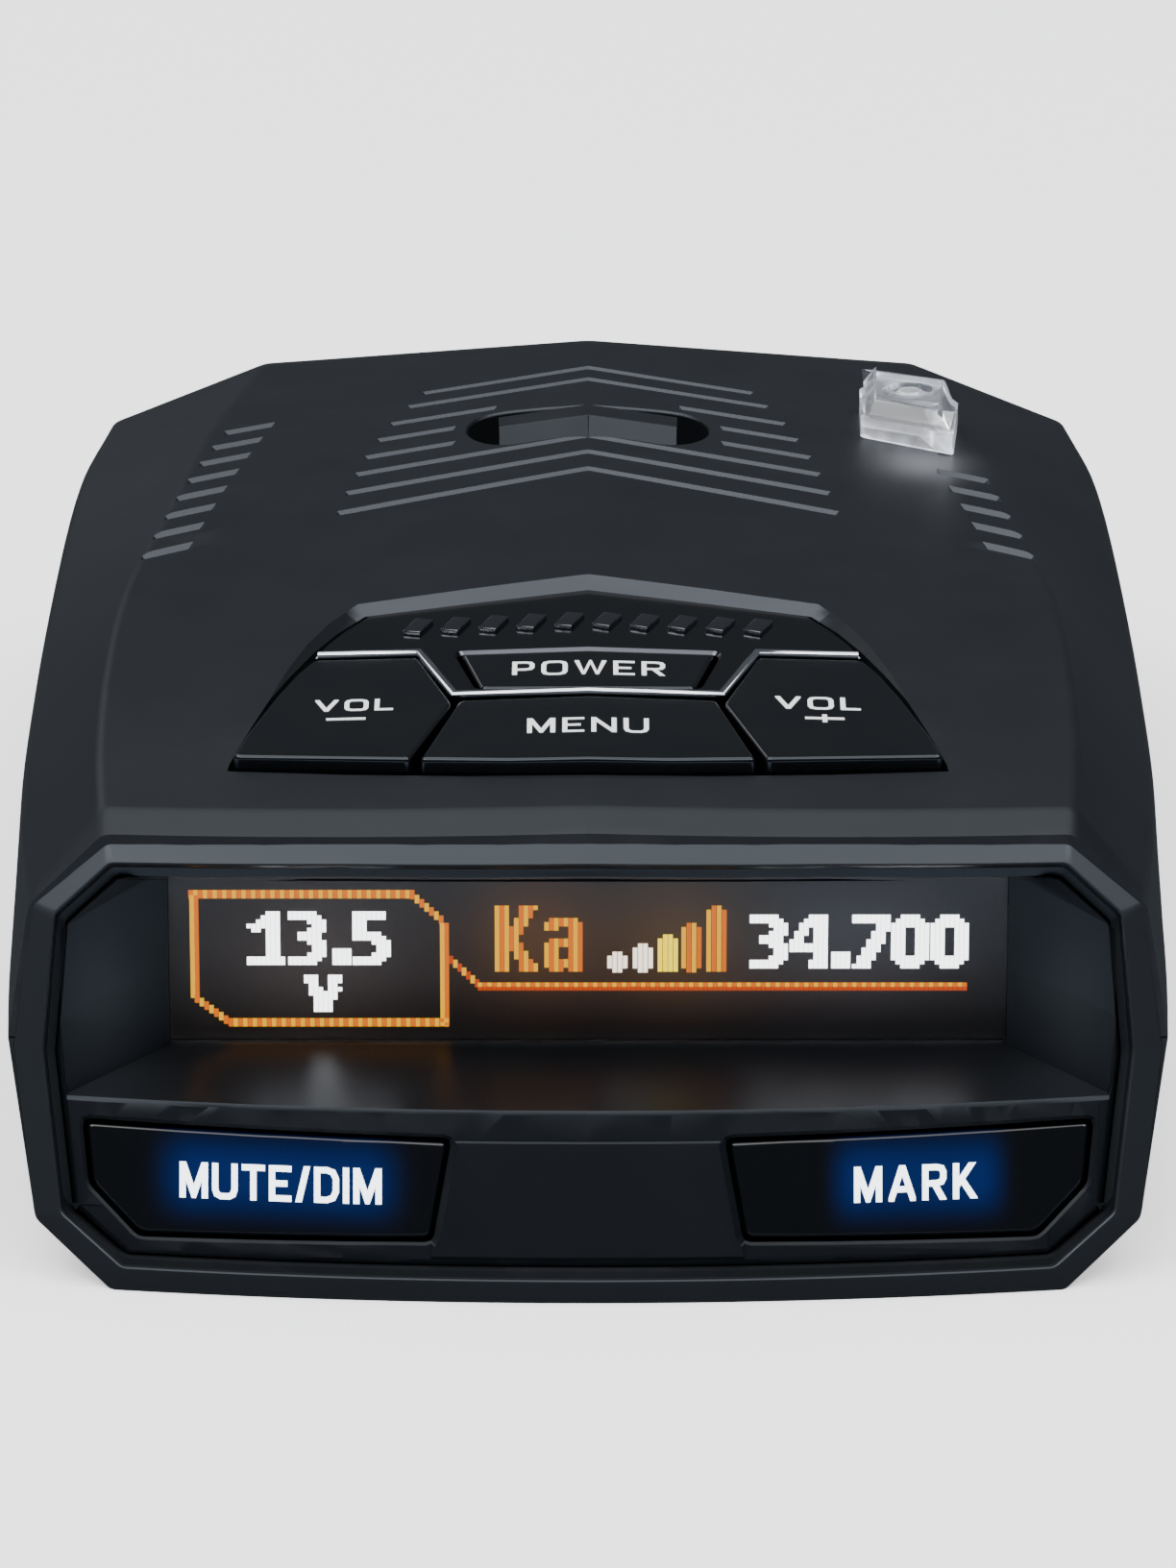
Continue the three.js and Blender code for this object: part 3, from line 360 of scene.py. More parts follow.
blackSteel = mouldedPlastic("blackSteel", (0.08, 0.082, 0.088), (0.12, 0.122, 0.13), 0.32, wear=0.6,
                            metal=1.0)
siliconeRubber = mouldedPlastic("siliconeRubber", (0.03, 0.03, 0.033), (0.045, 0.045, 0.05), 0.6)
ceramicBlock = mouldedPlastic("ceramicBlock", (0.38, 0.31, 0.2), (0.5, 0.42, 0.28), 0.5)
labelFilm = mouldedPlastic("labelFilm", (0.42, 0.43, 0.44), (0.5, 0.51, 0.52), 0.35, bump=0.006, wear=0.0)
infraredRed = mouldedPlastic("infraredRed", (0.012, 0.001, 0.002), (0.02, 0.002, 0.003), 0.1, bump=0.002,
                             coat=0.5)


def clearAcrylic(name, tint, rough, ior, clear, edge):
    material, tree = nodeMaterial(name)
    out = addNode(tree, "ShaderNodeOutputMaterial")
    skin = addNode(tree, "ShaderNodeBsdfPrincipled")
    texture = useGroup(tree, mouldGrain, Scale=0.05, Mottle=0.5)
    tone = addNode(tree, "ShaderNodeMix", data_type="RGBA")
    tone.inputs["A"].default_value = (*tint, 1)
    tone.inputs["B"].default_value = (*[c * 0.94 for c in tint], 1)
    relief = addNode(tree, "ShaderNodeBump")
    relief.inputs["Strength"].default_value = 0.05
    relief.inputs["Distance"].default_value = 0.0001
    linkUp(tree, (texture.outputs["Shade"], tone.inputs["Factor"]),
           (tone.outputs["Result"], skin.inputs["Base Color"]),
           (texture.outputs["Height"], relief.inputs["Height"]), (relief.outputs[0], skin.inputs["Normal"]),
           (skin.outputs[0], out.inputs[0]))
    skin.inputs["Roughness"].default_value = rough
    skin.inputs["IOR"].default_value = ior
    skin.inputs["Transmission Weight"].default_value = clear
    if edge > 0:  # painted glint: the corners of the block glow, standing in for light gathered there
        rim = useGroup(tree, edgeWearAndGlint, Amount=1.6, Breakup=700.0)
        glint = addNode(tree, "ShaderNodeMix", data_type="RGBA")
        glint.inputs["A"].default_value = (0, 0, 0, 1)
        glint.inputs["B"].default_value = (0.9, 0.93, 1.0, 1)
        linkUp(tree, (rim.outputs["Mask"], glint.inputs["Factor"]),
               (glint.outputs["Result"], skin.inputs["Emission Color"]))
        skin.inputs["Emission Strength"].default_value = edge
    return material


# the lens carries a painted glint of strength 0.9 on its corners
lensAcrylic = clearAcrylic("lensAcrylic", (0.88, 0.9, 0.96), 0.05, 1.49, 0.9, 0.9)
smokedAcrylic = clearAcrylic("smokedAcrylic", (0.86, 0.86, 0.88), 0.02, 1.2, 1.0, 0.0)


def litMaterial(name, color, strength):
    material, tree = nodeMaterial(name)
    out = addNode(tree, "ShaderNodeOutputMaterial")
    skin = addNode(tree, "ShaderNodeBsdfPrincipled")
    texture = useGroup(tree, mouldGrain, Scale=0.4, Mottle=0.15)
    tone = addNode(tree, "ShaderNodeMix", data_type="RGBA")
    tone.inputs["A"].default_value = (*[c * 0.93 for c in color], 1)
    tone.inputs["B"].default_value = (*color, 1)
    linkUp(tree, (texture.outputs["Shade"], tone.inputs["Factor"]),
           (tone.outputs["Result"], skin.inputs["Emission Color"]),
           (skin.outputs[0], out.inputs[0]))
    skin.inputs["Base Color"].default_value = (*[c * 0.6 for c in color], 1)
    skin.inputs["Roughness"].default_value = 0.5
    skin.inputs["Emission Strength"].default_value = strength
    return material


# white print with a painted glow: the emission makes the printed legends brighter than the lamps would
legendWhitePaintedGlow = litMaterial("legendWhitePaintedGlow", (0.9, 0.92, 0.94), 0.75)
legendLit = litMaterial("legendLit", (0.86, 0.92, 1.0), 3.4)
print("materials ready")


def meshObject(name, points, faces, material, angle=32.0):
    mesh = bpy.data.meshes.new(name)
    mesh.from_pydata([toPart(p) for p in points], [], faces)
    return finishMesh(name, mesh, material, angle)


def finishMesh(name, mesh, material, angle=32.0):
    work = bmesh.new()
    work.from_mesh(mesh)
    bmesh.ops.remove_doubles(work, verts=work.verts, dist=1e-8)
    bmesh.ops.recalc_face_normals(work, faces=work.faces)
    if work.calc_volume(signed=True) < 0:
        bmesh.ops.reverse_faces(work, faces=work.faces)
    work.to_mesh(mesh)
    work.free()
    mesh.materials.clear()
    mesh.materials.append(material)
    mesh.shade_smooth()
    mesh.set_sharp_from_angle(angle=math.radians(angle))
    thing = bpy.data.objects.new(name, mesh)
    scene.collection.objects.link(thing)
    return thing


def plainMesh(thing, angle=32.0):  # modifiers become mesh, in place
    graph = bpy.context.evaluated_depsgraph_get()
    mesh = bpy.data.meshes.new_from_object(thing.evaluated_get(graph))
    thing.modifiers.clear()
    work = bmesh.new()
    work.from_mesh(mesh)
    if work.calc_volume(signed=True) < 0:
        bmesh.ops.reverse_faces(work, faces=work.faces)
        work.to_mesh(mesh)
    work.free()
    thing.data = mesh
    mesh.shade_smooth()
    mesh.set_sharp_from_angle(angle=math.radians(angle))
    return thing


def joinTools(tools):
    work = bmesh.new()
    for tool in tools:
        work.from_mesh(tool.data)
    mesh = bpy.data.meshes.new("tools")
    work.to_mesh(mesh)
    work.free()
    thing = bpy.data.objects.new("tools", mesh)
    scene.collection.objects.link(thing)
    for tool in tools:
        bpy.data.objects.remove(tool)
    return thing


def carve(target, tools, operation="DIFFERENCE", angle=32.0):
    tool = joinTools(tools)
    step = target.modifiers.new("carve", "BOOLEAN")
    step.operation = operation
    step.object = tool
    step.solver = "MANIFOLD"
    plainMesh(target, angle)
    bpy.data.objects.remove(tool)
    return target


def grown(outline, by):  # offset of a closed outline, corner by corner
    if by == 0:
        return list(outline)
    count = len(outline)
    area = sum(outline[i][0] * outline[(i + 1) % count][1] - outline[(i + 1) % count][0] * outline[i][1]
               for i in range(count))
    turn = 1.0 if area > 0 else -1.0
    result = []
    for i in range(count):
        here = Vector(outline[i])
        before = (here - Vector(outline[i - 1])).normalized()
        after = (Vector(outline[(i + 1) % count]) - here).normalized()
        sideA = Vector((before.y, -before.x)) * turn
        sideB = Vector((after.y, -after.x)) * turn
        scale = by / max(0.35, 1 + sideA.dot(sideB))
        result.append((here.x + (sideA.x + sideB.x) * scale, here.y + (sideA.y + sideB.y) * scale))
    return result


def softened(outline, radius, steps=3):  # rounds the corners of a closed outline
    count = len(outline)
    result = []
    for i in range(count):
        here = Vector(outline[i])
        toBefore = Vector(outline[i - 1]) - here
        toAfter = Vector(outline[(i + 1) % count]) - here
        if toBefore.normalized().dot(toAfter.normalized()) < -0.985:
            result.append(tuple(here))
            continue
        start = here + toBefore.normalized() * min(radius, toBefore.length * 0.45)
        finish = here + toAfter.normalized() * min(radius, toAfter.length * 0.45)
        for k in range(steps + 1):
            t = k / steps
            point = start * (1 - t) ** 2 + here * 2 * t * (1 - t) + finish * t * t
            result.append(tuple(point))
    return result


def moulded(name, outline, layers, place, material, slices=(), angle=32.0):
    # stacks grown copies of the outline, closes both ends, then bends the stack with place(x, y, level)
    work = bmesh.new()
    loops = []
    for grow, level in layers:
        loops.append([work.verts.new((x, y, level)) for x, y in grown(outline, grow)])
    count = len(outline)
    for low, high in zip(loops, loops[1:]):
        for i in range(count):
            j = (i + 1) % count
            work.faces.new((low[i], low[j], high[j], high[i]))
    caps = [work.faces.new(list(reversed(loops[0]))), work.faces.new(loops[-1])]
    bmesh.ops.triangulate(work, faces=caps)
    for x in slices:
        geometry = work.verts[:] + work.edges[:] + work.faces[:]
        bmesh.ops.bisect_plane(work, geom=geometry, dist=1e-5, plane_co=(x, 0, 0), plane_no=(1, 0, 0))
    bmesh.ops.triangulate(work, faces=work.faces[:])
    for vert in work.verts:
        vert.co = toPart(place(vert.co.x, vert.co.y, vert.co.z))
    mesh = bpy.data.meshes.new(name)
    work.to_mesh(mesh)
    work.free()
    return finishMesh(name, mesh, material, angle)


def loftSolid(name, sections, material, angle=32.0):
    # each section is an upper and a lower chain of equal length that share their end points
    points, loops, faces = [], [], []
    for top, bottom in sections:
        topRow = []
        for p in top:
            topRow.append(len(points))
            points.append(p)
        lowRow = [topRow[0]]
        for p in bottom[1:-1]:
            lowRow.append(len(points))
            points.append(p)
        lowRow.append(topRow[-1])
        loops.append((topRow, lowRow))

    def addFace(*corners):
        clean = list(dict.fromkeys(corners))
        if len(clean) > 2:
            faces.append(clean)

    for row, flip in ((loops[0], False), (loops[-1], True)):
        top, low = row
        for i in range(len(top) - 1):
            corners = (low[i], low[i + 1], top[i + 1], top[i])
            addFace(*(reversed(corners) if flip else corners))
    for (topA, lowA), (topB, lowB) in zip(loops, loops[1:]):
        for i in range(len(topA) - 1):
            addFace(topA[i], topA[i + 1], topB[i + 1], topB[i])
            addFace(lowA[i + 1], lowA[i], lowB[i], lowB[i + 1])
    return meshObject(name, points, faces, material, angle)


caseShape = {
    "crown": [(16.6, 32.6), (24, 33.35), (32, 33.98), (45, 34.5), (55, 34.6), (66, 34.4), (78, 33.8),
              (91, 32.75),
              (104, 31.4), (120, 29.45), (136, 27.4)],
    "visor": [(13.6, 31.2), (16.6, 32.6)],
    "crease": [(13, 35.6), (16, 35.9), (26, 36.55), (41, 36.65), (59, 35.9), (80, 33.3), (105, 30.8),
               (136, 27.0)],
    "creaseDrop": [(13, 0.9), (16.6, 0.95), (40, 1.2), (136, 1.2)],
    "upperHalf": [(0, 41.0), (12, 41.3), (33, 42.9), (60, 43.1), (89, 42.6), (110, 41.8), (126, 40.6),
                  (136, 40.0)],
    "upperHeight": [(0, 25.8), (33, 25.2), (89, 24.8), (110, 24.4), (126, 23.7), (136, 23.2)],
    "middleHalf": [(0, 42.35), (20, 43.3), (45, 43.7), (97, 43.6), (115, 42.5), (126, 41.3), (136, 40.4)],
    "lowerHalf": [(0, 40.7), (30, 41.4), (100, 41.2), (136, 38.5)],
    "lowerHeight": [(0, 4.7), (136, 5.5)],
    "bottomHalf": [(0, 35.0), (20, 37.0), (100, 37.0), (136, 34.0)],
    "partLine": 16.5,
    "seam": 0.12,
    "wall": 2.0,
    "faceTilt": math.radians(24.0),
    "bow": 3.6,  # how far the ends of the face stand back from its middle
    "bowHalf": 43.0,
    "noseEnd": 134.9,
    "noseEdge": 0.9,
    "frontTop": 14.35,
    "frontFloor": 0.72,
    "hollowTop": 12.0,
    "hollowFloor": -2.0,
    "lean": 32.3,  # height over which the front end leans
    "cutStart": 96.0,
    "cutRun": 39.0,
    "cutCrease": 2.5,
    "cutSide": 7.9,
    "cutHalf": 27.0,
    "cutSpan": 13.4,
}


def smoothTable(rows, y):  # gentle curve through the rows
    if y <= rows[0][0]:
        return rows[0][1]
    if y >= rows[-1][0]:
        return rows[-1][1]
    for i in range(1, len(rows)):
        if y <= rows[i][0]:
            break
    y0, v0 = rows[i - 1]
    y1, v1 = rows[i]
    span = y1 - y0

    def slope(k):
        if k <= 0 or k >= len(rows) - 1:
            a, b = (0, 1) if k <= 0 else (len(rows) - 2, len(rows) - 1)
            return (rows[b][1] - rows[a][1]) / (rows[b][0] - rows[a][0])
        return (rows[k + 1][1] - rows[k - 1][1]) / (rows[k + 1][0] - rows[k - 1][0])

    t = (y - y0) / span
    m0, m1 = slope(i - 1) * span, slope(i) * span
    return ((2 * t ** 3 - 3 * t ** 2 + 1) * v0 + (t ** 3 - 2 * t ** 2 + t) * m0
            + (-2 * t ** 3 + 3 * t ** 2) * v1 + (t ** 3 - t ** 2) * m1)


def crownAt(y):
    if y < 16.6:
        (y0, v0), (y1, v1) = caseShape["visor"]
        return v0 + (v1 - v0) * (y - y0) / (y1 - y0)
    return smoothTable(caseShape["crown"], y)


def bowAt(x, y):
    fade = min(1.0, max(0.0, (62.0 - y) / 42.0))
    return caseShape["bow"] * (x / caseShape["bowHalf"]) ** 2 * fade * fade * (3 - 2 * fade)


def roofAt(x, y):
    straight = y - bowAt(x, y)
    side = min(1.0, abs(x) / smoothTable(caseShape["crease"], straight))
    return crownAt(straight) - smoothTable(caseShape["creaseDrop"], straight) * side


def rearPull(share, y):  # share runs 0 at the centre, 1 at the crease, 2 at the widest edge
    s = caseShape
    near = min(1.0, max(0.0, (y - s["cutStart"]) / s["cutRun"]))
    cut = s["cutCrease"] * min(share, 1.0) + s["cutSide"] * max(0.0, share - 1.0)
    return cut * near * near


def planShare(x):  # the same cut corner in plan for both halves, so that they meet at the seam
    x, half = abs(x), caseShape["cutHalf"]
    return x / half if x < half else 1.0 + (x - half) / caseShape["cutSpan"]


def roundedChain(points, radii, steps=4):
    result = [points[0]]
    for i in range(1, len(points) - 1):
        here = Vector(points[i])
        toA = Vector(points[i - 1]) - here
        toB = Vector(points[i + 1]) - here
        radius = radii[i]
        start = here + toA.normalized() * min(radius, toA.length * 0.48)
        finish = here + toB.normalized() * min(radius, toB.length * 0.48)
        for k in range(steps + 1):
            t = k / steps
            result.append(tuple(start * (1 - t) ** 2 + here * 2 * t * (1 - t) + finish * t * t))
    result.append(points[-1])
    return result


def spread(a, b, pieces):
    return [tuple(Vector(a).lerp(Vector(b), k / pieces)) for k in range(1, pieces)]


def caseHalf(name, inset, frontTop, frontFloor, upper, material, base):
    # upper or lower half of the case as a closed block, cut flat at the height `base`
    s = caseShape
    tops = [frontTop, 15.2, 16.2, 16.6, 17.0, 18.0, 19.5, 21.5, 24, 27, 30, 34, 38, 42, 46, 50, 54, 58, 62,
            66, 70, 75,
            80, 85, 90, 95, 100, 104, 108, 112, 116, 120, 124, 127, 130, 132, 133.5]
    end = s["noseEnd"] - inset
    tops = [y for y in tops if y < end - 0.5] + [end]
    rows = []
    for yTop in tops:
        blend = (yTop - frontTop) / (s["noseEnd"] - frontTop)
        gap = (frontTop - frontFloor) * max(0.0, 1 - blend * 1.45) ** 1.3
        yFloor = yTop - gap

        def yAt(z):
            return yFloor + (yTop - yFloor) * z / s["lean"]

        part = s["partLine"]
        creaseHalf = smoothTable(s["crease"], yTop) - inset * 0.45
        crown = crownAt(yTop) - inset
        drop = smoothTable(s["creaseDrop"], yTop)
        wide = (smoothTable(s["middleHalf"], yAt(part)) - inset, part, 2.0)
        if upper:
            corner = [wide,
                      (smoothTable(s["upperHalf"], yAt(25)) - inset,
                       smoothTable(s["upperHeight"], yAt(25)) - inset * 0.35,
                       1.85),
                      (creaseHalf, crown - drop, 1.0), (0, crown, 0.0)]
            radii = [0, 0.8, 0.6, 0.8]
        else:
            floor = max(0.0, yAt(0) - 114.0) * 0.118 + inset
            corner = [wide,
                      (smoothTable(s["lowerHalf"], yAt(5)) - inset,
                       smoothTable(s["lowerHeight"], yAt(5)) + inset * 0.3,
                       1.7),
                      (smoothTable(s["bottomHalf"], yAt(0)) - inset * 0.5, floor, 1.0), (0, floor, 0.0)]
            radii = [0, 1.0, 0.7, 0.5]
        left = [(-x, z, share) for x, z, share in corner]
        whole = left + [c for c in reversed(corner[:-1])]
        bends = radii + radii[:-1][::-1]
        rounded = roundedChain(whole, bends)
        chain = []
        for i, (a, b) in enumerate(zip(rounded, rounded[1:])):  # extra points across the wide spans
            chain.append(a)
            chain.extend(spread(a, b, {5: 2, 10: 6, 15: 6, 20: 2}.get(i, 1)))
        chain.append(rounded[-1])
        face, flat = [], []
        for x, z, share in chain:
            if not upper:
                share = planShare(x)
            y = yAt(z)
            y = y - rearPull(share, y)
            face.append((x, y + bowAt(x, y), z))
            y = yAt(base)
            y = y - rearPull(planShare(x), y)
            flat.append((x, y + bowAt(x, y), base))
        face[0] = flat[0] = (face[0][0], face[0][1], base)
        face[-1] = flat[-1] = (face[-1][0], face[-1][1], base)
        rows.append((face, flat))
    if inset == 0:  # soft edge round the windshield end
        face, flat = rows[-1]
        sign = 1 if upper else -1
        edge = s["noseEdge"]
        for step in (0.35, 0.7, 1.0):
            swell = edge * math.sin(step * math.pi / 2)
            shrink = edge * (1 - math.cos(step * math.pi / 2))
            newFace = []
            for x, y, z in face:
                reach = abs(z - base)
                newFace.append((x * (1 - shrink / 41.0), y + swell,
                                base + sign * reach * (1 - shrink / 14.0)))
            newFlat = [(x * (1 - shrink / 41.0), y + swell, base) for x, y, z in flat]
            rows.append((newFace, newFlat))
        for row in rows[-3:]:
            for chain in row:
                for i, (x, y, z) in enumerate(chain):
                    chain[i] = (x, y - edge, z)
        rows[-4] = tuple([(x, y - edge, z) for x, y, z in chain] for chain in rows[-4])
    return loftSolid(name, rows, material, 24.0)


def ridePiece(piece, body, slotName, *nodes):
    level = piece.modifiers.new("level", "WEIGHTED_NORMAL")  # flat faces stay flat beside small bevels
    level.keep_sharp = True
    graph = bpy.context.evaluated_depsgraph_get()
    mesh = bpy.data.meshes.new_from_object(piece.evaluated_get(graph))
    piece.modifiers.clear()
    piece.data = mesh
    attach(piece, body)
    if nodes:
        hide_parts(*nodes)
    return piece


def boxTool(low, high):
    (x0, y0, z0), (x1, y1, z1) = low, high
    points = [(x0, y0, z0), (x1, y0, z0), (x1, y1, z0), (x0, y1, z0), (x0, y0, z1), (x1, y0, z1),
              (x1, y1, z1), (x0, y1, z1)]
    faces = [(0, 3, 2, 1), (4, 5, 6, 7), (0, 1, 5, 4), (1, 2, 6, 5), (2, 3, 7, 6), (3, 0, 4, 7)]
    return meshObject("tool", points, faces, shellPlastic)


def onRoof(x, y, level):
    return (x, y, roofAt(x, y) + level)


def upright(x, y, level):
    return (x, y, level)


def padAt(x, y):  # the slightly tipped plane of the roof keys
    return 34.35 - (y - 21.6) * 0.6 / 35.0 - 0.96 * abs(x / 36.0)


def onPad(x, y, level):
    return (x, y, padAt(x, y) + level)


def circle(x, y, radius, sides=32):
    return [(x + radius * math.cos(2 * math.pi * i / sides), y + radius * math.sin(2 * math.pi * i / sides))
            for i in range(sides)]


def bothSides(half):  # closed outline from its right half, first and last points on the centre line
    return half + [(-x, y) for x, y in reversed(half[1:-1])]


keypad = {
    "pocket": [(0, 21.7), (9, 22.0), (18, 22.8), (26.8, 24.0), (26.7, 25.0), (25.9, 28.6), (24.9, 32.6),
               (23.8, 37.0),
               (22.5, 41.5), (20.9, 46.3), (19.2, 50.4), (17.2, 54.0), (9, 56.4), (0, 58.8)],
    "power": [(-9.7, 44.9), (-8.1, 37.4), (0, 37.0), (8.1, 37.4), (9.7, 44.9), (0, 45.1)],
    "menu": [(-9.7, 35.0), (-12.5, 22.7), (-6, 22.2), (0, 22.0), (6, 22.2), (12.5, 22.7), (9.7, 35.0),
             (0, 35.3)],
    "volume": [(-21.0, 44.5), (-22.2, 41.4), (-23.5, 37.0), (-24.6, 32.6), (-25.6, 28.6), (-26.3, 25.2),
               (-26.35, 24.3),
               (-13.2, 22.8), (-10.2, 34.4), (-12.9, 44.5)],
}
releasePocket = [(0, 98.7), (3.5, 97.5), (6.4, 96.1), (8.0, 96.5), (9.1, 98.0), (9.8, 100.2), (9.8, 102.6),
                 (9.2, 104.9),
                 (8.1, 106.6), (6.4, 107.6), (3.5, 108.3), (0, 108.8)]


grooveSet = {"middles": [87.7, 93.0, 98.2, 103.1, 108.2, 113.2, 118.6, 123.0], "width": 0.36, "depth": 0.75,
             "slope": 0.535, "reach": [19.5, 18.95, 18.3, 17.65, 16.75, 15.8, 14.5, 13.35]}


def chevronTools():
    tools = []
    half = grooveSet["width"] / 2
    layers = [(-0.06, -grooveSet["depth"]), (0, -0.42), (0.42, 0.0), (0.68, 0.28)]
    for i, middle in enumerate(grooveSet["middles"]):
        reach = grooveSet["reach"][i]
        inner = (0, 0, 0, 11.2, 11.2, 7.9, 0, 0)[i]

        def at(x, off):
            return (x, middle - grooveSet["slope"] * abs(x) + off)

        if inner == 0:
            outline = [at(-reach, -half), at(0, -half), at(reach, -half), at(reach, half), at(0, half),
                       at(-reach, half)]
            tools.append(moulded("tool", outline, layers, onRoof, shellPlastic, (0,)))
        else:
            for side in (-1, 1):
                outline = [at(side * inner, -half), at(side * reach, -half), at(side * reach, half),
                           at(side * inner, half)]
                tools.append(moulded("tool", outline, layers, onRoof, shellPlastic))
    return tools


ventSet = {"left": 8, "right": 5, "start": 69.7, "pitch": 5.17,
           "layers": [(-0.1, -4.0), (0, -0.5), (0.52, 0.0), (0.78, 0.26)]}


def ventTools():
    tools = []
    for side, count in ((-1, ventSet["left"]), (1, ventSet["right"])):
        for i in range(count):
            y = ventSet["start"] + ventSet["pitch"] * i
            x = 31.55 - 0.019 * i * (36 + i * 0.6)
            outline = [(side * x, y - 0.3), (side * (x + 3.1), y - 2.3), (side * (x + 3.1), y - 1.8),
                       (side * x, y + 0.2)]
            tools.append(moulded("tool", outline, ventSet["layers"], onRoof, shellPlastic))
    return tools


lensSet = {"base": [(22.2, 100.4), (29.6, 95.4), (30.4, 107), (22.4, 110.8)], "eye": (26.3, 103.6),
           "ring": 1.9, "core": 1.1}
noseSet = {"x": 19.2, "low": 17.8, "high": 24.4, "gap": 0.2}


def buildUpperShell():
    s = caseShape
    base = s["partLine"] + s["seam"] / 2
    shell = caseHalf("upper_shell_skin", 0, s["frontTop"], s["frontFloor"], True, shellPlastic, base)
    hollow = caseHalf("tool", s["wall"], s["hollowTop"], s["hollowFloor"], True, shellPlastic, base - 4)
    carve(shell, [hollow])
    cup = moulded("tool", grown(bothSides(releasePocket), 1.4), [(0, 26.2), (0, 29.3)], upright,
                  shellPlastic)
    slotWalls = boxTool((-10.6, 110.4, base), (10.6, 133.2, 25.0))
    carve(shell, [cup, slotWalls], "UNION")
    tools = chevronTools() + ventTools()
    tools.append(moulded("tool", bothSides(keypad["pocket"]), [(0, -8), (0, -0.12), (2.5, 2.38)], onPad,
                         shellPlastic, (0,)))
    tools.append(moulded("tool", grown(lensSet["base"], -0.9), [(0, 20), (0, 50)], upright, shellPlastic))
    tools.append(boxTool((-9, 112, 17.6), (9, 140, 23.4)))
    tools.append(turnedBox(11.6, 8, noseSet["low"] - noseSet["gap"], noseSet["high"] + noseSet["gap"],
                           noseSet["x"],
                           s["noseEnd"] - 1.7))
    carve(shell, tools)
    pocket = moulded("tool", softened(bothSides(releasePocket), 0.8, 3),
                     [(0, -3.6), (0, -0.3), (0.1, -0.1), (0.5, 0.3)],
                     onRoof, shellPlastic, (0,))
    carve(shell, [pocket])
    stem = boxTool((-3.4, 99.6, 20), (3.4, 105, 30))
    latchGap = boxTool((-2.6, 114.4, 14), (2.6, 118.2, 20))
    carve(shell, [stem, latchGap])
    shell.name = "upper_shell_skin"
    return ridePiece(shell, "case", "satin_black_shell", "upper_shell")


def turnedBox(width, deep, low, high, x, y, material=None, bevel=0.0):
    yaw = -math.atan2(2.5, 27.5)
    c, n = math.cos(yaw), math.sin(yaw)
    outline = [(-width / 2, -deep / 2), (width / 2, -deep / 2), (width / 2, deep / 2),
               (-width / 2, deep / 2)]

    def place(a, b, level):
        return (x + a * c - b * n, y + a * n + b * c, level)

    layers = [(0, low), (0, high)]
    if bevel > 0:
        layers = [(-bevel, low), (0, low + bevel), (0, high - bevel), (-bevel, high)]
    return moulded("tool", outline, layers, place, material or shellPlastic)


screwSet = {"places": [(-34, 30), (34, 30), (-32.5, 104), (32.5, 104)], "head": 2.5, "shaft": 1.15,
            "post": 3.6, "recess": 2.9, "bore": 1.5}
socketSet = {"power": {"y": 84, "half": 5.4, "low": 2.6, "high": 11.6},
             "usb": {"y": 70, "half": 4.2, "low": 4.8, "high": 8.4}}
audioSet = {"y": 59, "z": 6.8, "radius": 3.3}
speakerSet = {"y": 84, "radius": 11.5, "pitch": 3, "slotHalf": 0.6, "each": 3}
labelSet = [(-24, 40), (24, 40), (24, 72), (-24, 72)]


def sideHole(y, z, radius):
    points, faces = [], []
    sides = 32
    for x in (-60, -30):
        for i in range(sides):
            a = 2 * math.pi * i / sides
            points.append((x, y + radius * math.cos(a), z + radius * math.sin(a)))
    for i in range(sides):
        j = (i + 1) % sides
        faces.append((i, j, sides + j, sides + i))
    faces.append(tuple(range(sides)))
    faces.append(tuple(range(2 * sides - 1, sides - 1, -1)))
    return meshObject("tool", points, faces, shellPlastic)


def buildLowerShell():
    s = caseShape
    base = s["partLine"] - s["seam"] / 2
    shell = caseHalf("lower_shell_skin", 0, s["frontTop"], s["frontFloor"], False, shellPlastic, base)
    hollow = caseHalf("tool", s["wall"], s["hollowTop"], s["hollowFloor"], False, shellPlastic, base + 4)
    carve(shell, [hollow])
    posts = [moulded("tool", circle(x, y, screwSet["post"]), [(0, 1.0), (0, base)], upright, shellPlastic)
             for x, y in screwSet["places"]]
    posts.append(moulded("tool", circle(0, 102.3, 3.4), [(0, 1.0), (0, 6.1)], upright, shellPlastic))
    carve(shell, posts, "UNION")
    tools = []
    for x, y in screwSet["places"]:
        tools.append(moulded("tool", circle(x, y, screwSet["recess"]), [(0.9, -0.5), (0, 0.35), (0, 2.6)],
                             upright, shellPlastic))
    tools.append(moulded("tool", labelSet, [(0.7, -0.4), (0, 0.2), (0, 0.4)], upright,
                         shellPlastic))
    k = speakerSet
    for i in range(-k["each"], k["each"] + 1):
        half = math.sqrt(k["radius"] ** 2 - (i * k["pitch"]) ** 2)
        low, high = k["y"] + i * k["pitch"] - k["slotHalf"], k["y"] + i * k["pitch"] + k["slotHalf"]
        outline = softened([(-half, low), (half, low), (half, high), (-half, high)], 0.5)
        tools.append(moulded("tool", outline, [(0.5, -0.3), (0, 0.2), (0, 4)], upright, shellPlastic))
    for socket in socketSet.values():
        y, half = socket["y"], socket["half"]
        tools.append(boxTool((-60, y - half, socket["low"]), (-30, y + half, socket["high"])))
    tools.append(sideHole(audioSet["y"], audioSet["z"], audioSet["radius"]))
    carve(shell, tools)
    bores = [moulded("tool", circle(x, y, screwSet["bore"], 16), [(0, 1.0), (0, 20)], upright, shellPlastic)
             for x, y in screwSet["places"]]
    carve(shell, bores)
    shell.name = "lower_shell_skin"
    return ridePiece(shell, "case", "satin_black_shell", "lower_shell")


buildUpperShell()
print("upper shell ready")
buildLowerShell()
print("lower shell ready")


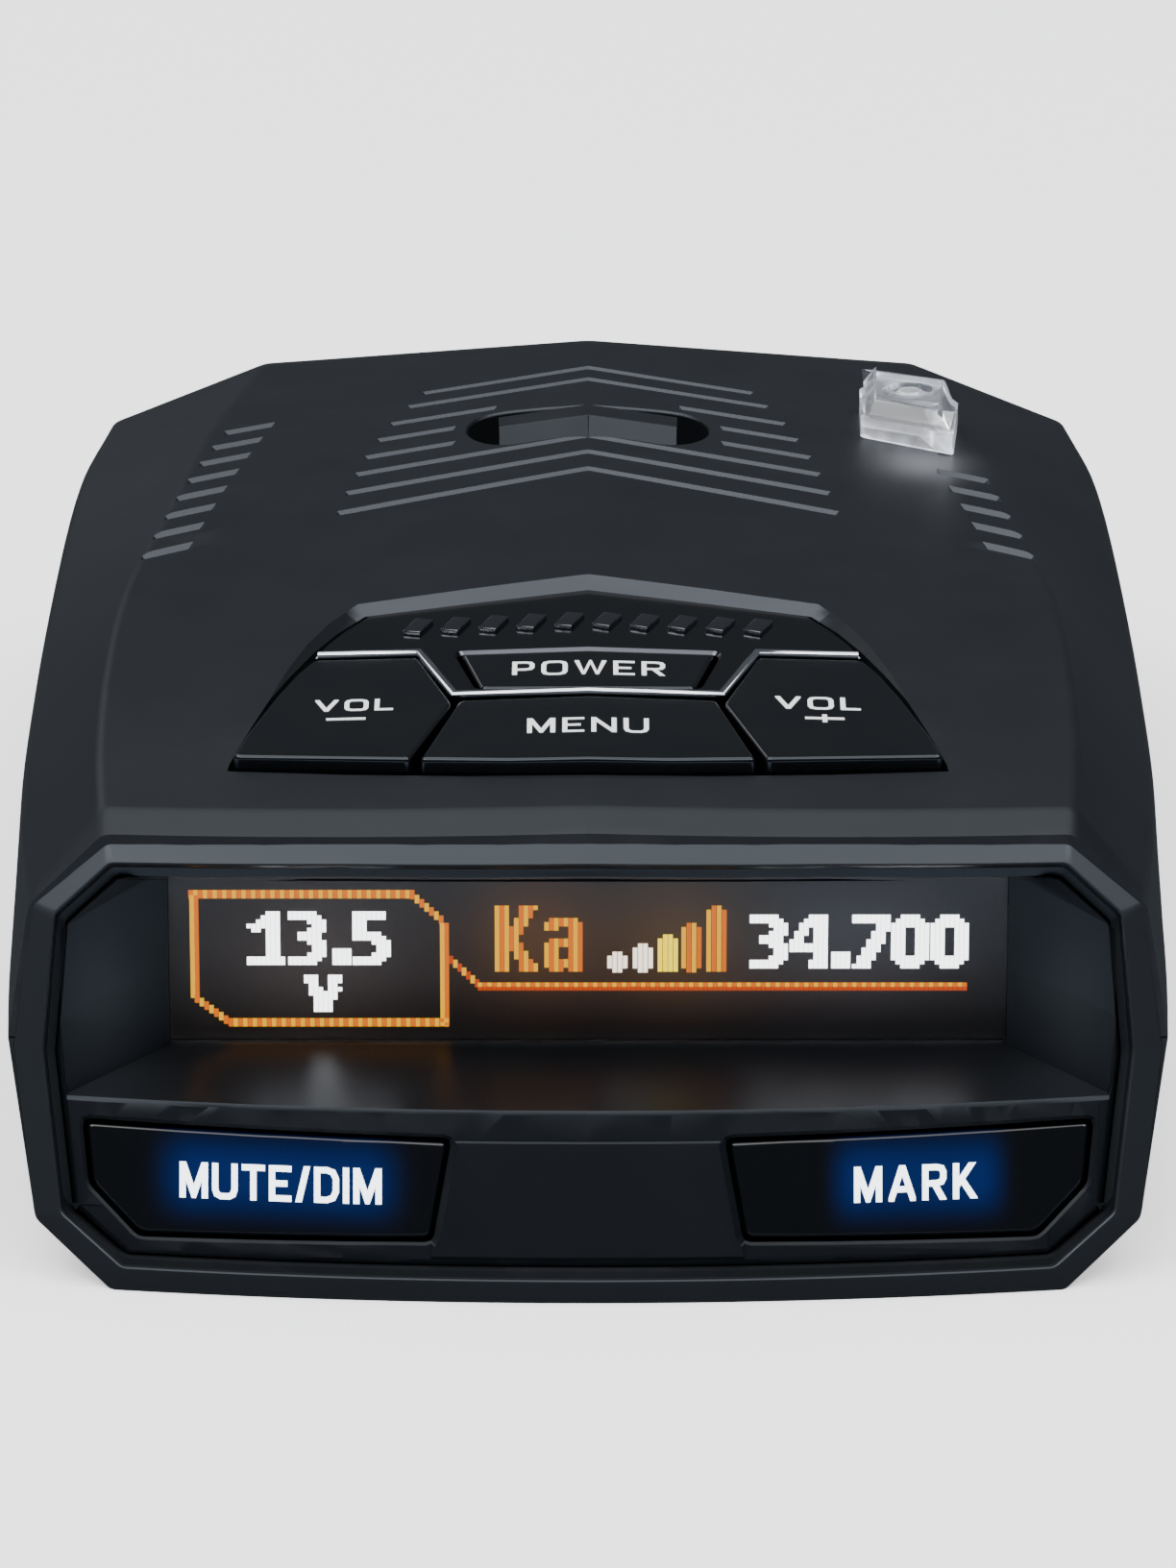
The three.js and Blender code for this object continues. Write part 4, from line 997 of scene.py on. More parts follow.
tiltSin, tiltCos = math.sin(caseShape["faceTilt"]), math.cos(caseShape["faceTilt"])


def onFace(x, h, d):  # across, up along the tilted face, behind it
    return (x, h * tiltSin + d * tiltCos + caseShape["bow"] * (x / caseShape["bowHalf"]) ** 2,
            max(0.0, h * tiltCos - d * tiltSin))


def faceOut(x, h, level):  # level is positive towards the user
    return onFace(x, h, -level)


faceSet = {
    "ring": [(0, 34.25), (18, 33.95), (35.5, 33.2), (41.0, 28.15), (42.35, 17.4), (40.7, 5.0), (35.0, 0),
             (18, 0), (0, 0)],
    "hole": [(0, 32.1), (18, 31.85), (35.15, 31.3), (39.25, 27.35), (40.05, 17.4), (38.65, 5.6),
             (34.2, 1.9), (18, 1.87),
             (0, 1.85)],
    "slices": (-36, -30, -24, -18, -12, -6, 0, 6, 12, 18, 24, 30, 36),
    "window": (31.1, 17.0, 13.4, 28.2),  # half width, depth, low, high
    "key": [(-10.35, 11.85), (-36.95, 12.3), (-36.5, 7.9), (-33.0, 4.4), (-11.65, 4.75)],
    "pad": [(-9.95, 11.9), (9.95, 11.9), (11.6, 3.25), (-11.6, 3.25)],
}


def ringLoops(outline, others):
    # closed tube of section loops that all share their corner count
    points, faces = [], []
    count = len(outline)
    for shape, depth in others:
        for x, h in shape:
            points.append(depth(x, h))
    rows = len(others)
    for r in range(rows):
        for i in range(count):
            j = (i + 1) % count
            s = (r + 1) % rows
            faces.append((r * count + i, r * count + j, s * count + j, s * count + i))
    return points, faces


def dense(outline, longest, guide=None):  # the guide outline sets how often each side is split
    guide = guide or outline
    result = []
    for i, here in enumerate(outline):
        after = outline[(i + 1) % len(outline)]
        pieces = max(1, math.ceil(abs(guide[(i + 1) % len(guide)][0] - guide[i][0]) / longest))
        for k in range(pieces):
            t = k / pieces
            result.append((here[0] + (after[0] - here[0]) * t, here[1] + (after[1] - here[1]) * t))
    return result


def buildRing():
    outline = softened(bothSides(faceSet["ring"]), 0.4, 3)
    outer = dense(outline, 4)
    hole = dense(softened(bothSides(faceSet["hole"]), 0.35, 3), 4, outline)
    if len(outer) != len(hole):
        raise RuntimeError("ring outlines differ %d %d" % (len(outer), len(hole)))

    def back(x, h):
        px, py, pz = onFace(x, h, 0)
        lift = 0.75 * 0.46 if h > 29 else 0.0
        return (px * 1.002, py + 0.75, pz + lift)

    def atDepth(d):
        return lambda x, h: onFace(x, h, d)

    flange = grown(hole, -0.7)
    rows = [
        (outer, back), (outer, atDepth(0.34)), (grown(outer, -0.06), atDepth(0.2)),
            (grown(outer, -0.16), atDepth(0.12)),
        (grown(hole, 0.34), atDepth(-0.5)), (grown(hole, 0.2), atDepth(-0.54)),
            (grown(hole, 0.08), atDepth(-0.46)),
        (hole, atDepth(-0.3)), (grown(hole, -0.1), atDepth(1.7)), (flange, atDepth(1.9)),
            (flange, atDepth(2.6)),
        (grown(hole, 0.6), atDepth(2.6)),
    ]
    points, faces = ringLoops(outer, rows)
    ring = meshObject("front_ring", points, faces, ringPlastic, 24.0)
    return ridePiece(ring, "case", "satin_grey_ring", "front_bezel")


buildRing()


def recessBlock(grow, wall, near, back, lip):
    half, _, low, high = faceSet["window"]
    low, high, half = low - wall, high + wall, half + wall
    up = [(38.95 + grow, 20.0), (38.9 + grow, 26.4 + grow), (34.55 + grow, 30.3 + grow), (0, 31.0 + grow)]
    down = [(38.95 + grow, 20.0), (38.5 + grow, 15.2 - grow), (38.3 + grow, 14.4 - grow), (0, 14.4 - grow)]

    def filled(chain):
        x, h = chain[-2]
        middle = chain[-1][1]
        extra = [(x * t, middle + (h - middle) * t * t) for t in (0.83, 0.67, 0.5, 0.33, 0.17)]
        half = chain[:-1] + extra + [(0, middle)]
        return [(-a, b) for a, b in half] + [(a, b) for a, b in reversed(half[:-1])]

    def section(upper, lower, place, placeLow=None):
        return [place(x, h) for x, h in filled(upper)], [(placeLow or place)(x, h) for x,
                                                         h in filled(lower)]

    def pushed(chain, out, rise):
        return [(x + out if x else 0, h + (rise if i else 0)) for i, (x, h) in enumerate(chain)]

    def atDepth(d):
        return lambda x, h: onFace(x, h, d)

    flatUp = [(half, 20), (half, high - 1), (half - 0.02, high), (0, high)]
    flatDown = [(half, 20), (half, low + 0.8), (half - 0.02, low), (0, low)]
    rows = []
    if lip > 0:  # the shelf keeps a broad rounded front edge
        rows.append(section(pushed(up, 1.4, 1.4), pushed(down, 1.4, -2.4), atDepth(-0.6), atDepth(-0.35)))
        rows.append(section(pushed(up, lip, lip), pushed(down, lip, -0.55), atDepth(near), atDepth(near)))
        rows.append(section(pushed(up, lip / 2, lip / 2), pushed(down, lip / 2, -0.22),
                            atDepth(near + lip / 2),
                            atDepth(near + 0.12)))
        rows.append(section(up, down, atDepth(near + lip), atDepth(near + 0.5)))
    else:
        rows.append(section(up, down, atDepth(near)))
    rows.append(section(flatUp, flatDown, lambda x, h: (x, back, h)))
    if lip > 0:
        rows.append(section(flatUp, flatDown, lambda x, h: (x, back + 4, h)))
    return loftSolid("tool", rows, panelPlastic, 25.0)


def buildPanel():
    outline = grown(dense(softened(bothSides(faceSet["hole"]), 0.35, 3), 4), -0.85)
    panel = moulded("front_panel_moulding", outline, [(0, -3.9), (0, -1.32), (-0.14, -1.06), (-0.42, -0.9)],
                    faceOut,
                    panelPlastic, faceSet["slices"], 30.0)
    housing = recessBlock(0.0, 1.3, 1.8, 18.6, 0)
    pad = moulded("tool", softened(faceSet["pad"], 0.3, 2), [(0, -2.0), (0, -0.78), (-0.16, -0.66)],
                  faceOut,
                  panelPlastic, faceSet["slices"])
    carve(panel, [housing], "UNION")
    carve(panel, [pad], "UNION")
    carve(panel, [recessBlock(0, 0, 0.9, 17.0, 0.15)])
    pockets = []
    for side in (1, -1):
        corners = softened([(side * x, h) for x, h in faceSet["key"]], 0.35, 2)
        pockets.append(moulded("tool", corners, [(0.3, -7), (0.3, -1.15), (0.55, -0.9), (0.95, -0.5)],
                               faceOut,
                               panelPlastic, faceSet["slices"]))
    carve(panel, pockets, angle=30.0)
    return ridePiece(panel, "case", "black_panel", "front_panel")


buildPanel()
print("ring and panel ready")


keyLayers = [(0, -2.4), (0, -0.34), (-0.06, -0.16), (-0.18, -0.05), (-0.36, 0)]


def buildRoofKeys():
    shapes = {
        "power": keypad["power"], "menu": keypad["menu"], "volume_down": keypad["volume"],
        "volume_up": [(-x, y) for x, y in reversed(keypad["volume"])],
    }
    for body, outline in shapes.items():
        cap = moulded(body + "_cap", softened(outline, 0.5, 3), keyLayers, onPad, keyGloss, (0,))
        ridePiece(cap, body, "gloss_black_key", body + "_key")


def buildFrontKeys():
    for body, side in (("mute_dim", 1), ("mark", -1)):
        corners = [(side * x, h) for x, h in faceSet["key"]]
        corners = dense(softened(corners if side > 0 else corners[::-1], 0.5, 3), 4)
        cap = moulded(body + "_cap", corners,
                      [(0, -3.4), (0, -1.45), (-0.06, -1.3), (-0.16, -1.2), (-0.32, -1.15)],
                      faceOut, glowKeys[body], (-30, -24, -18, 18, 24, 30))
        ridePiece(cap, body, "gloss_black_key", body + "_key")


def glowKeyMaterial(name, centre, reach):  # gloss black with a soft blue light behind the legend
    material, tree = nodeMaterial(name)
    out = addNode(tree, "ShaderNodeOutputMaterial")
    skin = addNode(tree, "ShaderNodeBsdfPrincipled")
    place = addNode(tree, "ShaderNodeTexCoord")
    shift = addNode(tree, "ShaderNodeMapping", vector_type="TEXTURE")
    shift.inputs["Location"].default_value = toPart(centre)
    shift.inputs["Scale"].default_value = [c * 0.001 for c in reach]
    split = addNode(tree, "ShaderNodeSeparateXYZ")
    linkUp(tree, (place.outputs["Object"], shift.inputs["Vector"]), (shift.outputs[0], split.inputs[0]))

    def edge(value, start):  # one inside, falls smoothly to nothing outside
        span = addNode(tree, "ShaderNodeMapRange", interpolation_type="SMOOTHERSTEP")
        span.inputs["From Min"].default_value = 1.0
        span.inputs["From Max"].default_value = start
        linkUp(tree, (mathNode(tree, "ABSOLUTE", value), span.inputs["Value"]))
        return span.outputs["Result"]

    glow = mathNode(tree, "MULTIPLY", edge(split.outputs["X"], 0.55), edge(split.outputs["Z"], 0.0))
    noise = addNode(tree, "ShaderNodeTexNoise")
    noise.inputs["Scale"].default_value = 220.0
    linkUp(tree, (place.outputs["Object"], noise.inputs["Vector"]))
    glow = mathNode(tree, "MULTIPLY", glow,
                    mathNode(tree, "ADD", mathNode(tree, "MULTIPLY", noise.outputs["Fac"], 0.3), 0.85))
    tone = addNode(tree, "ShaderNodeMix", data_type="RGBA")
    tone.inputs["A"].default_value = (0, 0, 0, 1)
    tone.inputs["B"].default_value = (0.0, 0.016, 0.12, 1)
    linkUp(tree, (glow, tone.inputs["Factor"]), (tone.outputs["Result"], skin.inputs["Emission Color"]),
           (skin.outputs[0], out.inputs[0]))
    skin.inputs["Base Color"].default_value = (0.0016, 0.002, 0.003, 1)
    skin.inputs["Roughness"].default_value = 0.16
    skin.inputs["Specular IOR Level"].default_value = 0.4
    skin.inputs["Emission Strength"].default_value = 1.0
    return material


glowKeys = {
    "mute_dim": glowKeyMaterial("muteGlow", onFace(-22.7, 8.3, 0), (10.6, 20, 4.2)),
    "mark": glowKeyMaterial("markGlow", onFace(24.3, 8.3, 0), (7.6, 20, 4.2)),
}


letterStrokes = {  # name: (width share, strokes); a closed stroke ends with "loop"
    "P": (0.86,
          [[(0, 0), (0, 1), (0.62, 1), (0.9, 0.96), (1, 0.84), (1, 0.58), (0.9, 0.46), (0.62, 0.42),
            (0, 0.42)]]),
    "O": (1.06,
          [[(0.26, 0), (0.08, 0.06), (0, 0.22), (0, 0.78), (0.08, 0.94), (0.26, 1), (0.74, 1), (0.92, 0.94),
                  (1, 0.78), (1, 0.22), (0.92, 0.06), (0.74, 0), "loop"]]),
    "W": (1.34, [[(-0.04, 1.2), (0.25, -0.06), (0.5, 1.02), (0.75, -0.06), (1.04, 1.2)]]),
    "E": (0.82, [[(1.3, 1), (0, 1), (0, 0), (1.3, 0)], [(0, 0.5), (0.94, 0.5)]]),
    "R": (0.92,
          [[(0, -0.2), (0, 1), (0.62, 1), (0.9, 0.96), (1, 0.84), (1, 0.62), (0.9, 0.5), (0.62, 0.46),
            (0, 0.46)],
                 [(0.5, 0.46), (1.1, -0.2)]]),
    "M": (1.12, [[(0, -0.2), (0, 1.2)], [(1, -0.2), (1, 1.2)], [(-0.06, 1.24), (0.5, 0.02), (1.06, 1.24)]]),
    "N": (0.98, [[(0, -0.2), (0, 1.2)], [(1, -0.2), (1, 1.2)], [(-0.1, 1.14), (1.1, -0.14)]]),
    "U": (0.98,
          [[(0, 1.2), (0, 0.24), (0.08, 0.07), (0.28, 0), (0.72, 0), (0.92, 0.07), (1, 0.24), (1, 1.2)]]),
    "V": (1.04, [[(-0.06, 1.16), (0.5, -0.04), (1.06, 1.16)]]),
    "L": (0.76, [[(0, 1.2), (0, 0), (1.3, 0)]]),
    "T": (0.86, [[(-0.2, 1), (1.2, 1)], [(0.5, 1), (0.5, -0.2)]]),
    "/": (0.42, [[(-0.12, -0.24), (1.12, 1.24)]]),
    "D": (0.94,
          [[(0, 0), (0, 1), (0.52, 1), (0.84, 0.93), (1, 0.72), (1, 0.28), (0.84, 0.07), (0.52, 0),
            "loop"]]),
    "I": (0.0, [[(0, -0.2), (0, 1.2)]]),
    "A": (1.06, [[(-0.08, -0.16), (0.5, 1.08), (1.08, -0.16)], [(0.14, 0.3), (0.86, 0.3)]]),
    "K": (0.94, [[(0, -0.2), (0, 1.2)], [(0.06, 0.36), (1.0, 1.2)], [(0.3, 0.56), (1.06, -0.16)]]),
}


def sweptBar(name, path, profile, material, place=None, angle=32.0):
    # a profile of (across, level) points carried along a path with mitred bends
    closed = path[-1] == "loop"
    if closed:
        path = path[:-1]
    count, sides = len(path), len(profile)
    points, faces = [], []
    for i in range(count):
        here = Vector(path[i])
        before = here - Vector(path[i - 1 if closed else max(0, i - 1)])
        after = Vector(path[(i + 1) % count if closed else min(count - 1, i + 1)]) - here
        before = before.normalized() if before.length > 0 else after.normalized()
        after = after.normalized() if after.length > 0 else before
        across = Vector((-before.y - after.y, before.x + after.x)).normalized()
        stretch = 1 / max(0.3, across.dot(Vector((-before.y, before.x))))
        for offset, level in profile:
            spot = here + across * offset * stretch
            points.append(place(spot.x, spot.y, level) if place else (spot.x, spot.y, level))
    for i in range(count if closed else count - 1):
        a, b = i * sides, (i + 1) % count * sides
        for k in range(sides):
            faces.append((a + k, a + (k + 1) % sides, b + (k + 1) % sides, b + k))
    if not closed:
        faces += [tuple(range(sides - 1, -1, -1)), tuple(count * sides - sides + k for k in range(sides))]
    return meshObject(name, points, faces, material, angle)


def ribbonMesh(path, wide, low, high):
    half = wide / 2
    return sweptBar("tool", path, [(half, low), (-half, low), (-half, high), (half, high)], legendWhitePaintedGlow)


def legendMesh(name, words, material, place, width, height, centre, stroke, thick=0.05):
    # letters drawn as bars of even width, clipped to the line height, then laid on a surface
    gap = 0.34 if len(words) < 6 else 0.2
    total = sum(letterStrokes[c][0] for c in words) + gap * (len(words) - 1)
    unit = (width - stroke * len(words)) / total
    left = centre[0] - width / 2
    legend = None
    for letter in words:
        share, strokes = letterStrokes[letter]
        wide = share * unit
        glyph = None
        for path in strokes:
            laid = [p if p == "loop" else (left + stroke / 2 + p[0] * wide,
                                           centre[1] - height / 2 + stroke / 2
                                           + p[1] * (height - stroke)) for p in path]
            bar = ribbonMesh(laid, stroke, -0.02, thick - 0.02)
            glyph = bar if glyph is None else carve(glyph, [bar], "UNION")
        clip = boxTool((left, centre[1] - height / 2, -1),
                       (left + wide + stroke, centre[1] + height / 2, 1))
        carve(glyph, [clip], "INTERSECT")
        legend = glyph if legend is None else joinTools([legend, glyph])
        left += wide + stroke + gap * unit
    legend.name = name
    for vert in legend.data.vertices:
        x, y, z = vert.co
        vert.co = toPart(place(x * 1000, y * 1000 + middleY, z * 1000))
    legend.data.materials.clear()
    legend.data.materials.append(material)
    return legend


def barMesh(name, outline, material, place, thick=0.05):
    return moulded(name, outline, [(0, -0.02), (0, thick - 0.02)], place, material)


def rectangle(x, y, wide, tall):
    return [(x - wide / 2, y - tall / 2), (x + wide / 2, y - tall / 2), (x + wide / 2, y + tall / 2),
            (x - wide / 2, y + tall / 2)]


def onFrontKey(x, h, level):
    return onFace(x, h, 1.15 - level)


def buildLegends():
    legends = [
        # name, words, body, material, surface, width, height, centre, bar width
        ("power_legend", "POWER", "power", legendWhitePaintedGlow, onPad, 11.6, 3.0, (0.05, 41.3), 0.37),
        ("menu_legend", "MENU", "menu", legendWhitePaintedGlow, onPad, 9.1, 3.0, (0, 29.0), 0.37),
        ("volume_down_legend", "VOL", "volume_down", legendWhitePaintedGlow, onPad, 5.9, 2.4, (-17.6, 34.3), 0.36),
        ("volume_up_legend", "VOL", "volume_up", legendWhitePaintedGlow, onPad, 6.4, 2.6, (17.3, 34.7), 0.38),
        ("mute_dim_legend", "MUTE/DIM", "mute_dim", legendLit, onFrontKey, 14.9, 2.65, (-22.6, 8.45), 0.46),
        ("mark_legend", "MARK", "mark", legendLit, onFrontKey, 9.1, 2.65, (24.1, 8.45), 0.46),
    ]
    for name, words, body, material, place, width, height, centre, stroke in legends:
        piece = legendMesh(name, words, material, place, width, height, centre, stroke)
        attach(piece, body)
    minus = barMesh("volume_down_sign", rectangle(-18.15, 31.4, 2.95, 0.42), legendWhitePaintedGlow, onPad)
    plusWide = barMesh("tool", rectangle(17.75, 31.5, 2.95, 0.42), legendWhitePaintedGlow, onPad)
    plusTall = barMesh("volume_up_sign", rectangle(17.75, 31.5, 0.36, 1.6), legendWhitePaintedGlow, onPad)
    carve(plusTall, [plusWide], "UNION")
    for piece, body in ((minus, "volume_down"), (plusTall, "volume_up")):
        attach(piece, body)


buildRoofKeys()
buildFrontKeys()
buildLegends()


def buildTrim():
    front = [(-20.9, 45.0), (-12.6, 45.0), (-9.8, 35.7), (0, 35.9), (9.8, 35.7), (12.6, 45.0), (20.9, 45.0)]
    back = [(20.0, 47.7), (18.7, 50.6), (16.95, 53.75), (9, 56.1), (0, 58.45), (-9, 56.1), (-16.95, 53.75),
            (-18.7, 50.6),
            (-20.0, 47.7)]
    plate = moulded("keypad_trim_plate", softened(front + back, 0.35, 2),
                    [(0, -2.6), (0, -0.2), (-0.2, 0.0)],
                    lambda x, y, level: onPad(x, y, level + 0.05), darkChrome, (0,))
    hole = moulded("tool", softened(keypad["power"], 0.5, 3), [(0.3, -9), (0.3, -0.2), (1.0, 0.5)], onPad,
                   darkChrome, (0,))
    carve(plate, [hole])
    ridePiece(plate, "case", "dark_chrome", "keypad_trim")
    rimPath = [(-20.6, 45.35), (-12.85, 45.35), (-10.05, 36.05), (0, 36.2), (10.05, 36.05), (12.85, 45.35),
               (20.6, 45.35)]
    profile = [(0.36, -0.3), (-0.36, -0.3), (-0.36, 0.06), (-0.3, 0.17), (-0.18, 0.27), (0, 0.31),
               (0.18, 0.27), (0.3, 0.17),
               (0.36, 0.06)]
    rim = sweptBar("keypad_rim", rimPath, profile, brightChrome, onPad, 60.0)
    ridePiece(rim, "case", "dark_chrome")


buildTrim()
print("keys, trim and legends ready")


def newTree(name, inputs):
    tree = bpy.data.node_groups.new(name, "GeometryNodeTree")
    tree.interface.new_socket(name="Geometry", in_out="INPUT", socket_type="NodeSocketGeometry")
    for label, sort, value in inputs:
        socket = tree.interface.new_socket(name=label, in_out="INPUT", socket_type=sort)
        if value is not None:
            socket.default_value = value
    tree.interface.new_socket(name="Geometry", in_out="OUTPUT", socket_type="NodeSocketGeometry")
    return tree, tree.nodes.new("NodeGroupInput"), tree.nodes.new("NodeGroupOutput")


def fillModifier(thing, tree, values):
    step = thing.modifiers.new(tree.name, "NODES")
    step.node_group = tree
    for item in tree.interface.items_tree:
        if item.item_type == "SOCKET" and item.in_out == "INPUT" and item.name in values:
            step[item.identifier] = values[item.name]
    return step


def treeMesh(name, tree, values, points=(), tints=None, angle=32.0):
    mesh = bpy.data.meshes.new(name)
    mesh.from_pydata([toPart(p) for p in points], [], [])
    if tints:
        layer = mesh.attributes.new("tint", "FLOAT_COLOR", "POINT")
        for i, tint in enumerate(tints):
            layer.data[i].color = (*tint, 1.0)
    thing = bpy.data.objects.new(name, mesh)
    scene.collection.objects.link(thing)
    fillModifier(thing, tree, values)
    plainMesh(thing, angle)
    return thing


def dotTree():  # a small flat tile on every point, tinted by the point
    tree, start, end = newTree("displayDots",
                               [("Width", "NodeSocketFloat", 0.0003), ("Height", "NodeSocketFloat", 0.0003),
                                               ("Thickness", "NodeSocketFloat", 0.00004),
                                ("Finish", "NodeSocketMaterial", None)])
    size = tree.nodes.new("ShaderNodeCombineXYZ")
    tile = tree.nodes.new("GeometryNodeMeshCube")
    copies = tree.nodes.new("GeometryNodeInstanceOnPoints")
    solid = tree.nodes.new("GeometryNodeRealizeInstances")
    finish = tree.nodes.new("GeometryNodeSetMaterial")
    linkUp(tree, (start.outputs["Width"], size.inputs[0]), (start.outputs["Thickness"], size.inputs[1]),
           (start.outputs["Height"], size.inputs[2]), (size.outputs[0], tile.inputs["Size"]),
           (start.outputs["Geometry"], copies.inputs["Points"]),
           (tile.outputs["Mesh"], copies.inputs["Instance"]),
           (copies.outputs[0], solid.inputs[0]), (solid.outputs[0], finish.inputs["Geometry"]),
           (start.outputs["Finish"], finish.inputs["Material"]), (finish.outputs[0], end.inputs[0]))
    return tree


def dotMaterial():
    material, tree = nodeMaterial("displayDot")
    out = addNode(tree, "ShaderNodeOutputMaterial")
    skin = addNode(tree, "ShaderNodeBsdfPrincipled")
    tint = addNode(tree, "ShaderNodeAttribute", attribute_name="tint")
    linkUp(tree, (tint.outputs["Color"], skin.inputs["Emission Color"]), (skin.outputs[0], out.inputs[0]))
    skin.inputs["Base Color"].default_value = (0.01, 0.01, 0.01, 1)
    skin.inputs["Emission Strength"].default_value = 1.0
    return material


displaySet = {"y": 18.3, "left": -29.6, "top": 25.5, "pitchX": 0.3566, "pitchZ": 0.331}
glyphs = {
    "1": "....###. ...####. ..#####. ####### .##.###. ....###. ....###. ....###. ....###. ....###. "
         "....###. ######## ########",
    "3": "######.. #######. ....#### .....### ....#### ..#####. ..#####. ....#### .....### .....### "
         "....#### #######. ######..",
    "4": "....#### ...##### ..###### ..##.### .###.### .##..### ###..### ########. ########. .....### "
         ".....### ....#### ....####",
    "5": "#######. #######. ###..... ###..... ###..... ######.. #######. ....#### .....### .....### "
         "....#### #######. ######..",
    "7": "######## ######## .....### .....### ....###. ....###. ...####. ...###.. ..####.. ..###... "
         ".####... .###.... ####....",
    "0": "..####.. .######. ######## ###..### ###..### ###..### ###..### ###..### ###..### ###..### "
         "######## .######. ..####..",
    ".": ".... .... .... .... .... .... .... .... .... #### #### #### ####",
    "V": "###..### ###..### .##..##. .###.### .######. ..#####. ..####.. ..####.. ..####..",
    "K": "###..#### ###..###. ###..###. ###.###.. ###.###.. ######... ######... #####.... #####.... "
         "######... ######... "
         "###.###.. ###.###.. ###..###. ###..#### ###..####",
    "a": ".######. ######## ###..### .....### .....### .####### ######## ###..### ###..### ###..### "
         "######## ######## .###.###",
}


def lightDots():
    white, cream = (5.0, 5.1, 5.2), (2.8, 2.4, 1.9)
    amber, gold, yellow, ember = (1.15, 0.24, 0.0), (1.5, 0.74, 0.0), (2.3, 1.75, 0.0), (0.8, 0.08, 0.0)
    cells = {}

    def put(column, row, tint):
        cells[(round(column, 2), round(row, 2))] = tint

    def write(text, column, row, tints):
        for line, bits in enumerate(glyphs[text].split()):
            for place, bit in enumerate(bits):
                if bit == "#":
                    put(column + place, row + line, tints[place % len(tints)])

    for text, column in (("1", 12), ("3", 20.6), (".", 29.8), ("5", 34)):
        write(text, column, 5.6, (white,))
    write("V", 23.8, 21, (white,))
    for text, column in (("3", 116.6), ("4", 124.9), (".", 133.6), ("7", 137.9), ("0", 146), ("0", 154.2)):
        write(text, column, 6.4, (white,))
    write("K", 63.6, 4.2, (gold, amber))
    write("a", 73.9, 7.2, (gold, amber))
    bars = [(87.0, 15.4, (cream,)), (92.3, 13.4, (cream,)), (97.5, 11.2, (yellow,)),
            (102.4, 8.4, (gold, amber)),
            (107.6, 4.2, (gold, amber))]
    for column, top, tints in bars:
        row = top
        while row < 20.2:
            inset = 1 if row < top + 0.9 or row > 19.2 else 0
            for k in range(inset, 4 - inset):
                put(column + k * 1.08, row, tints[k % len(tints)])
            row += 1

    def line(columns, rows):  # two bright rows over a wider ember edge
        for column in columns:
            for row in rows:
                put(column, row, gold if column % 2 else amber)

    line(range(0, 47), (0.4, 1.4))
    line(range(8, 54), (31.6, 32.6))
    for step in range(1, 26):
        put(0.2, step + 0.6, gold)
        put(1.1, step + 0.6, amber)
    for step in range(8, 33):
        put(52.2, step + 0.4, gold)
        put(53.1, step + 0.4, amber)
    for k in range(0, 7):
        for w in (0, 1):
            put(46 + k, 0.6 + k * 1.0 + w, gold if k % 2 else amber)
            put(1 + k, 25.8 + k * 0.86 + w, gold if k % 2 else amber)
            put(54 + k * 0.9, 16.4 + k * 0.95 + w * 0.9, gold if k % 2 else ember)
    for column in range(60, 162):
        put(column, 22.9, amber if column % 2 else gold)
        put(column, 23.8, ember)
    return cells


def buildDisplay():
    d = displaySet
    cells = lightDots()
    points, tints = [], []
    for (column, row), tint in cells.items():
        points.append((d["left"] + (column + 0.5) * d["pitchX"], d["y"] - 0.03,
                       d["top"] - (row + 0.5) * d["pitchZ"]))
        tints.append(tint)
    dots = treeMesh("display_dots", dotTree(),
                    {"Width": d["pitchX"] * 0.00094, "Height": d["pitchZ"] * 0.001,
                                                "Thickness": 0.00004, "Finish": dotMaterial()}, points,
                    tints)
    ridePiece(dots, "case", "display_glass")
    module = moulded("display_panel", rectangle(0, 20.6, 66, 16.2), [(0, d["y"]), (0, 20.9)],
                     lambda x, z, y: (x, y, z), displayFace())
    ridePiece(module, "case", "display_glass", "display_module")
    half, _, low, high = faceSet["window"]
    window = moulded("display_cover", rectangle(0, (low + high) / 2, half * 2 - 0.2, high - low - 0.2),
                     [(-0.1, 17.1), (0, 17.2), (0, 18.0), (-0.1, 18.1)], lambda x, z, y: (x, y, z),
                     smokedAcrylic)
    ridePiece(window, "case", "smoked_window", "display_window")


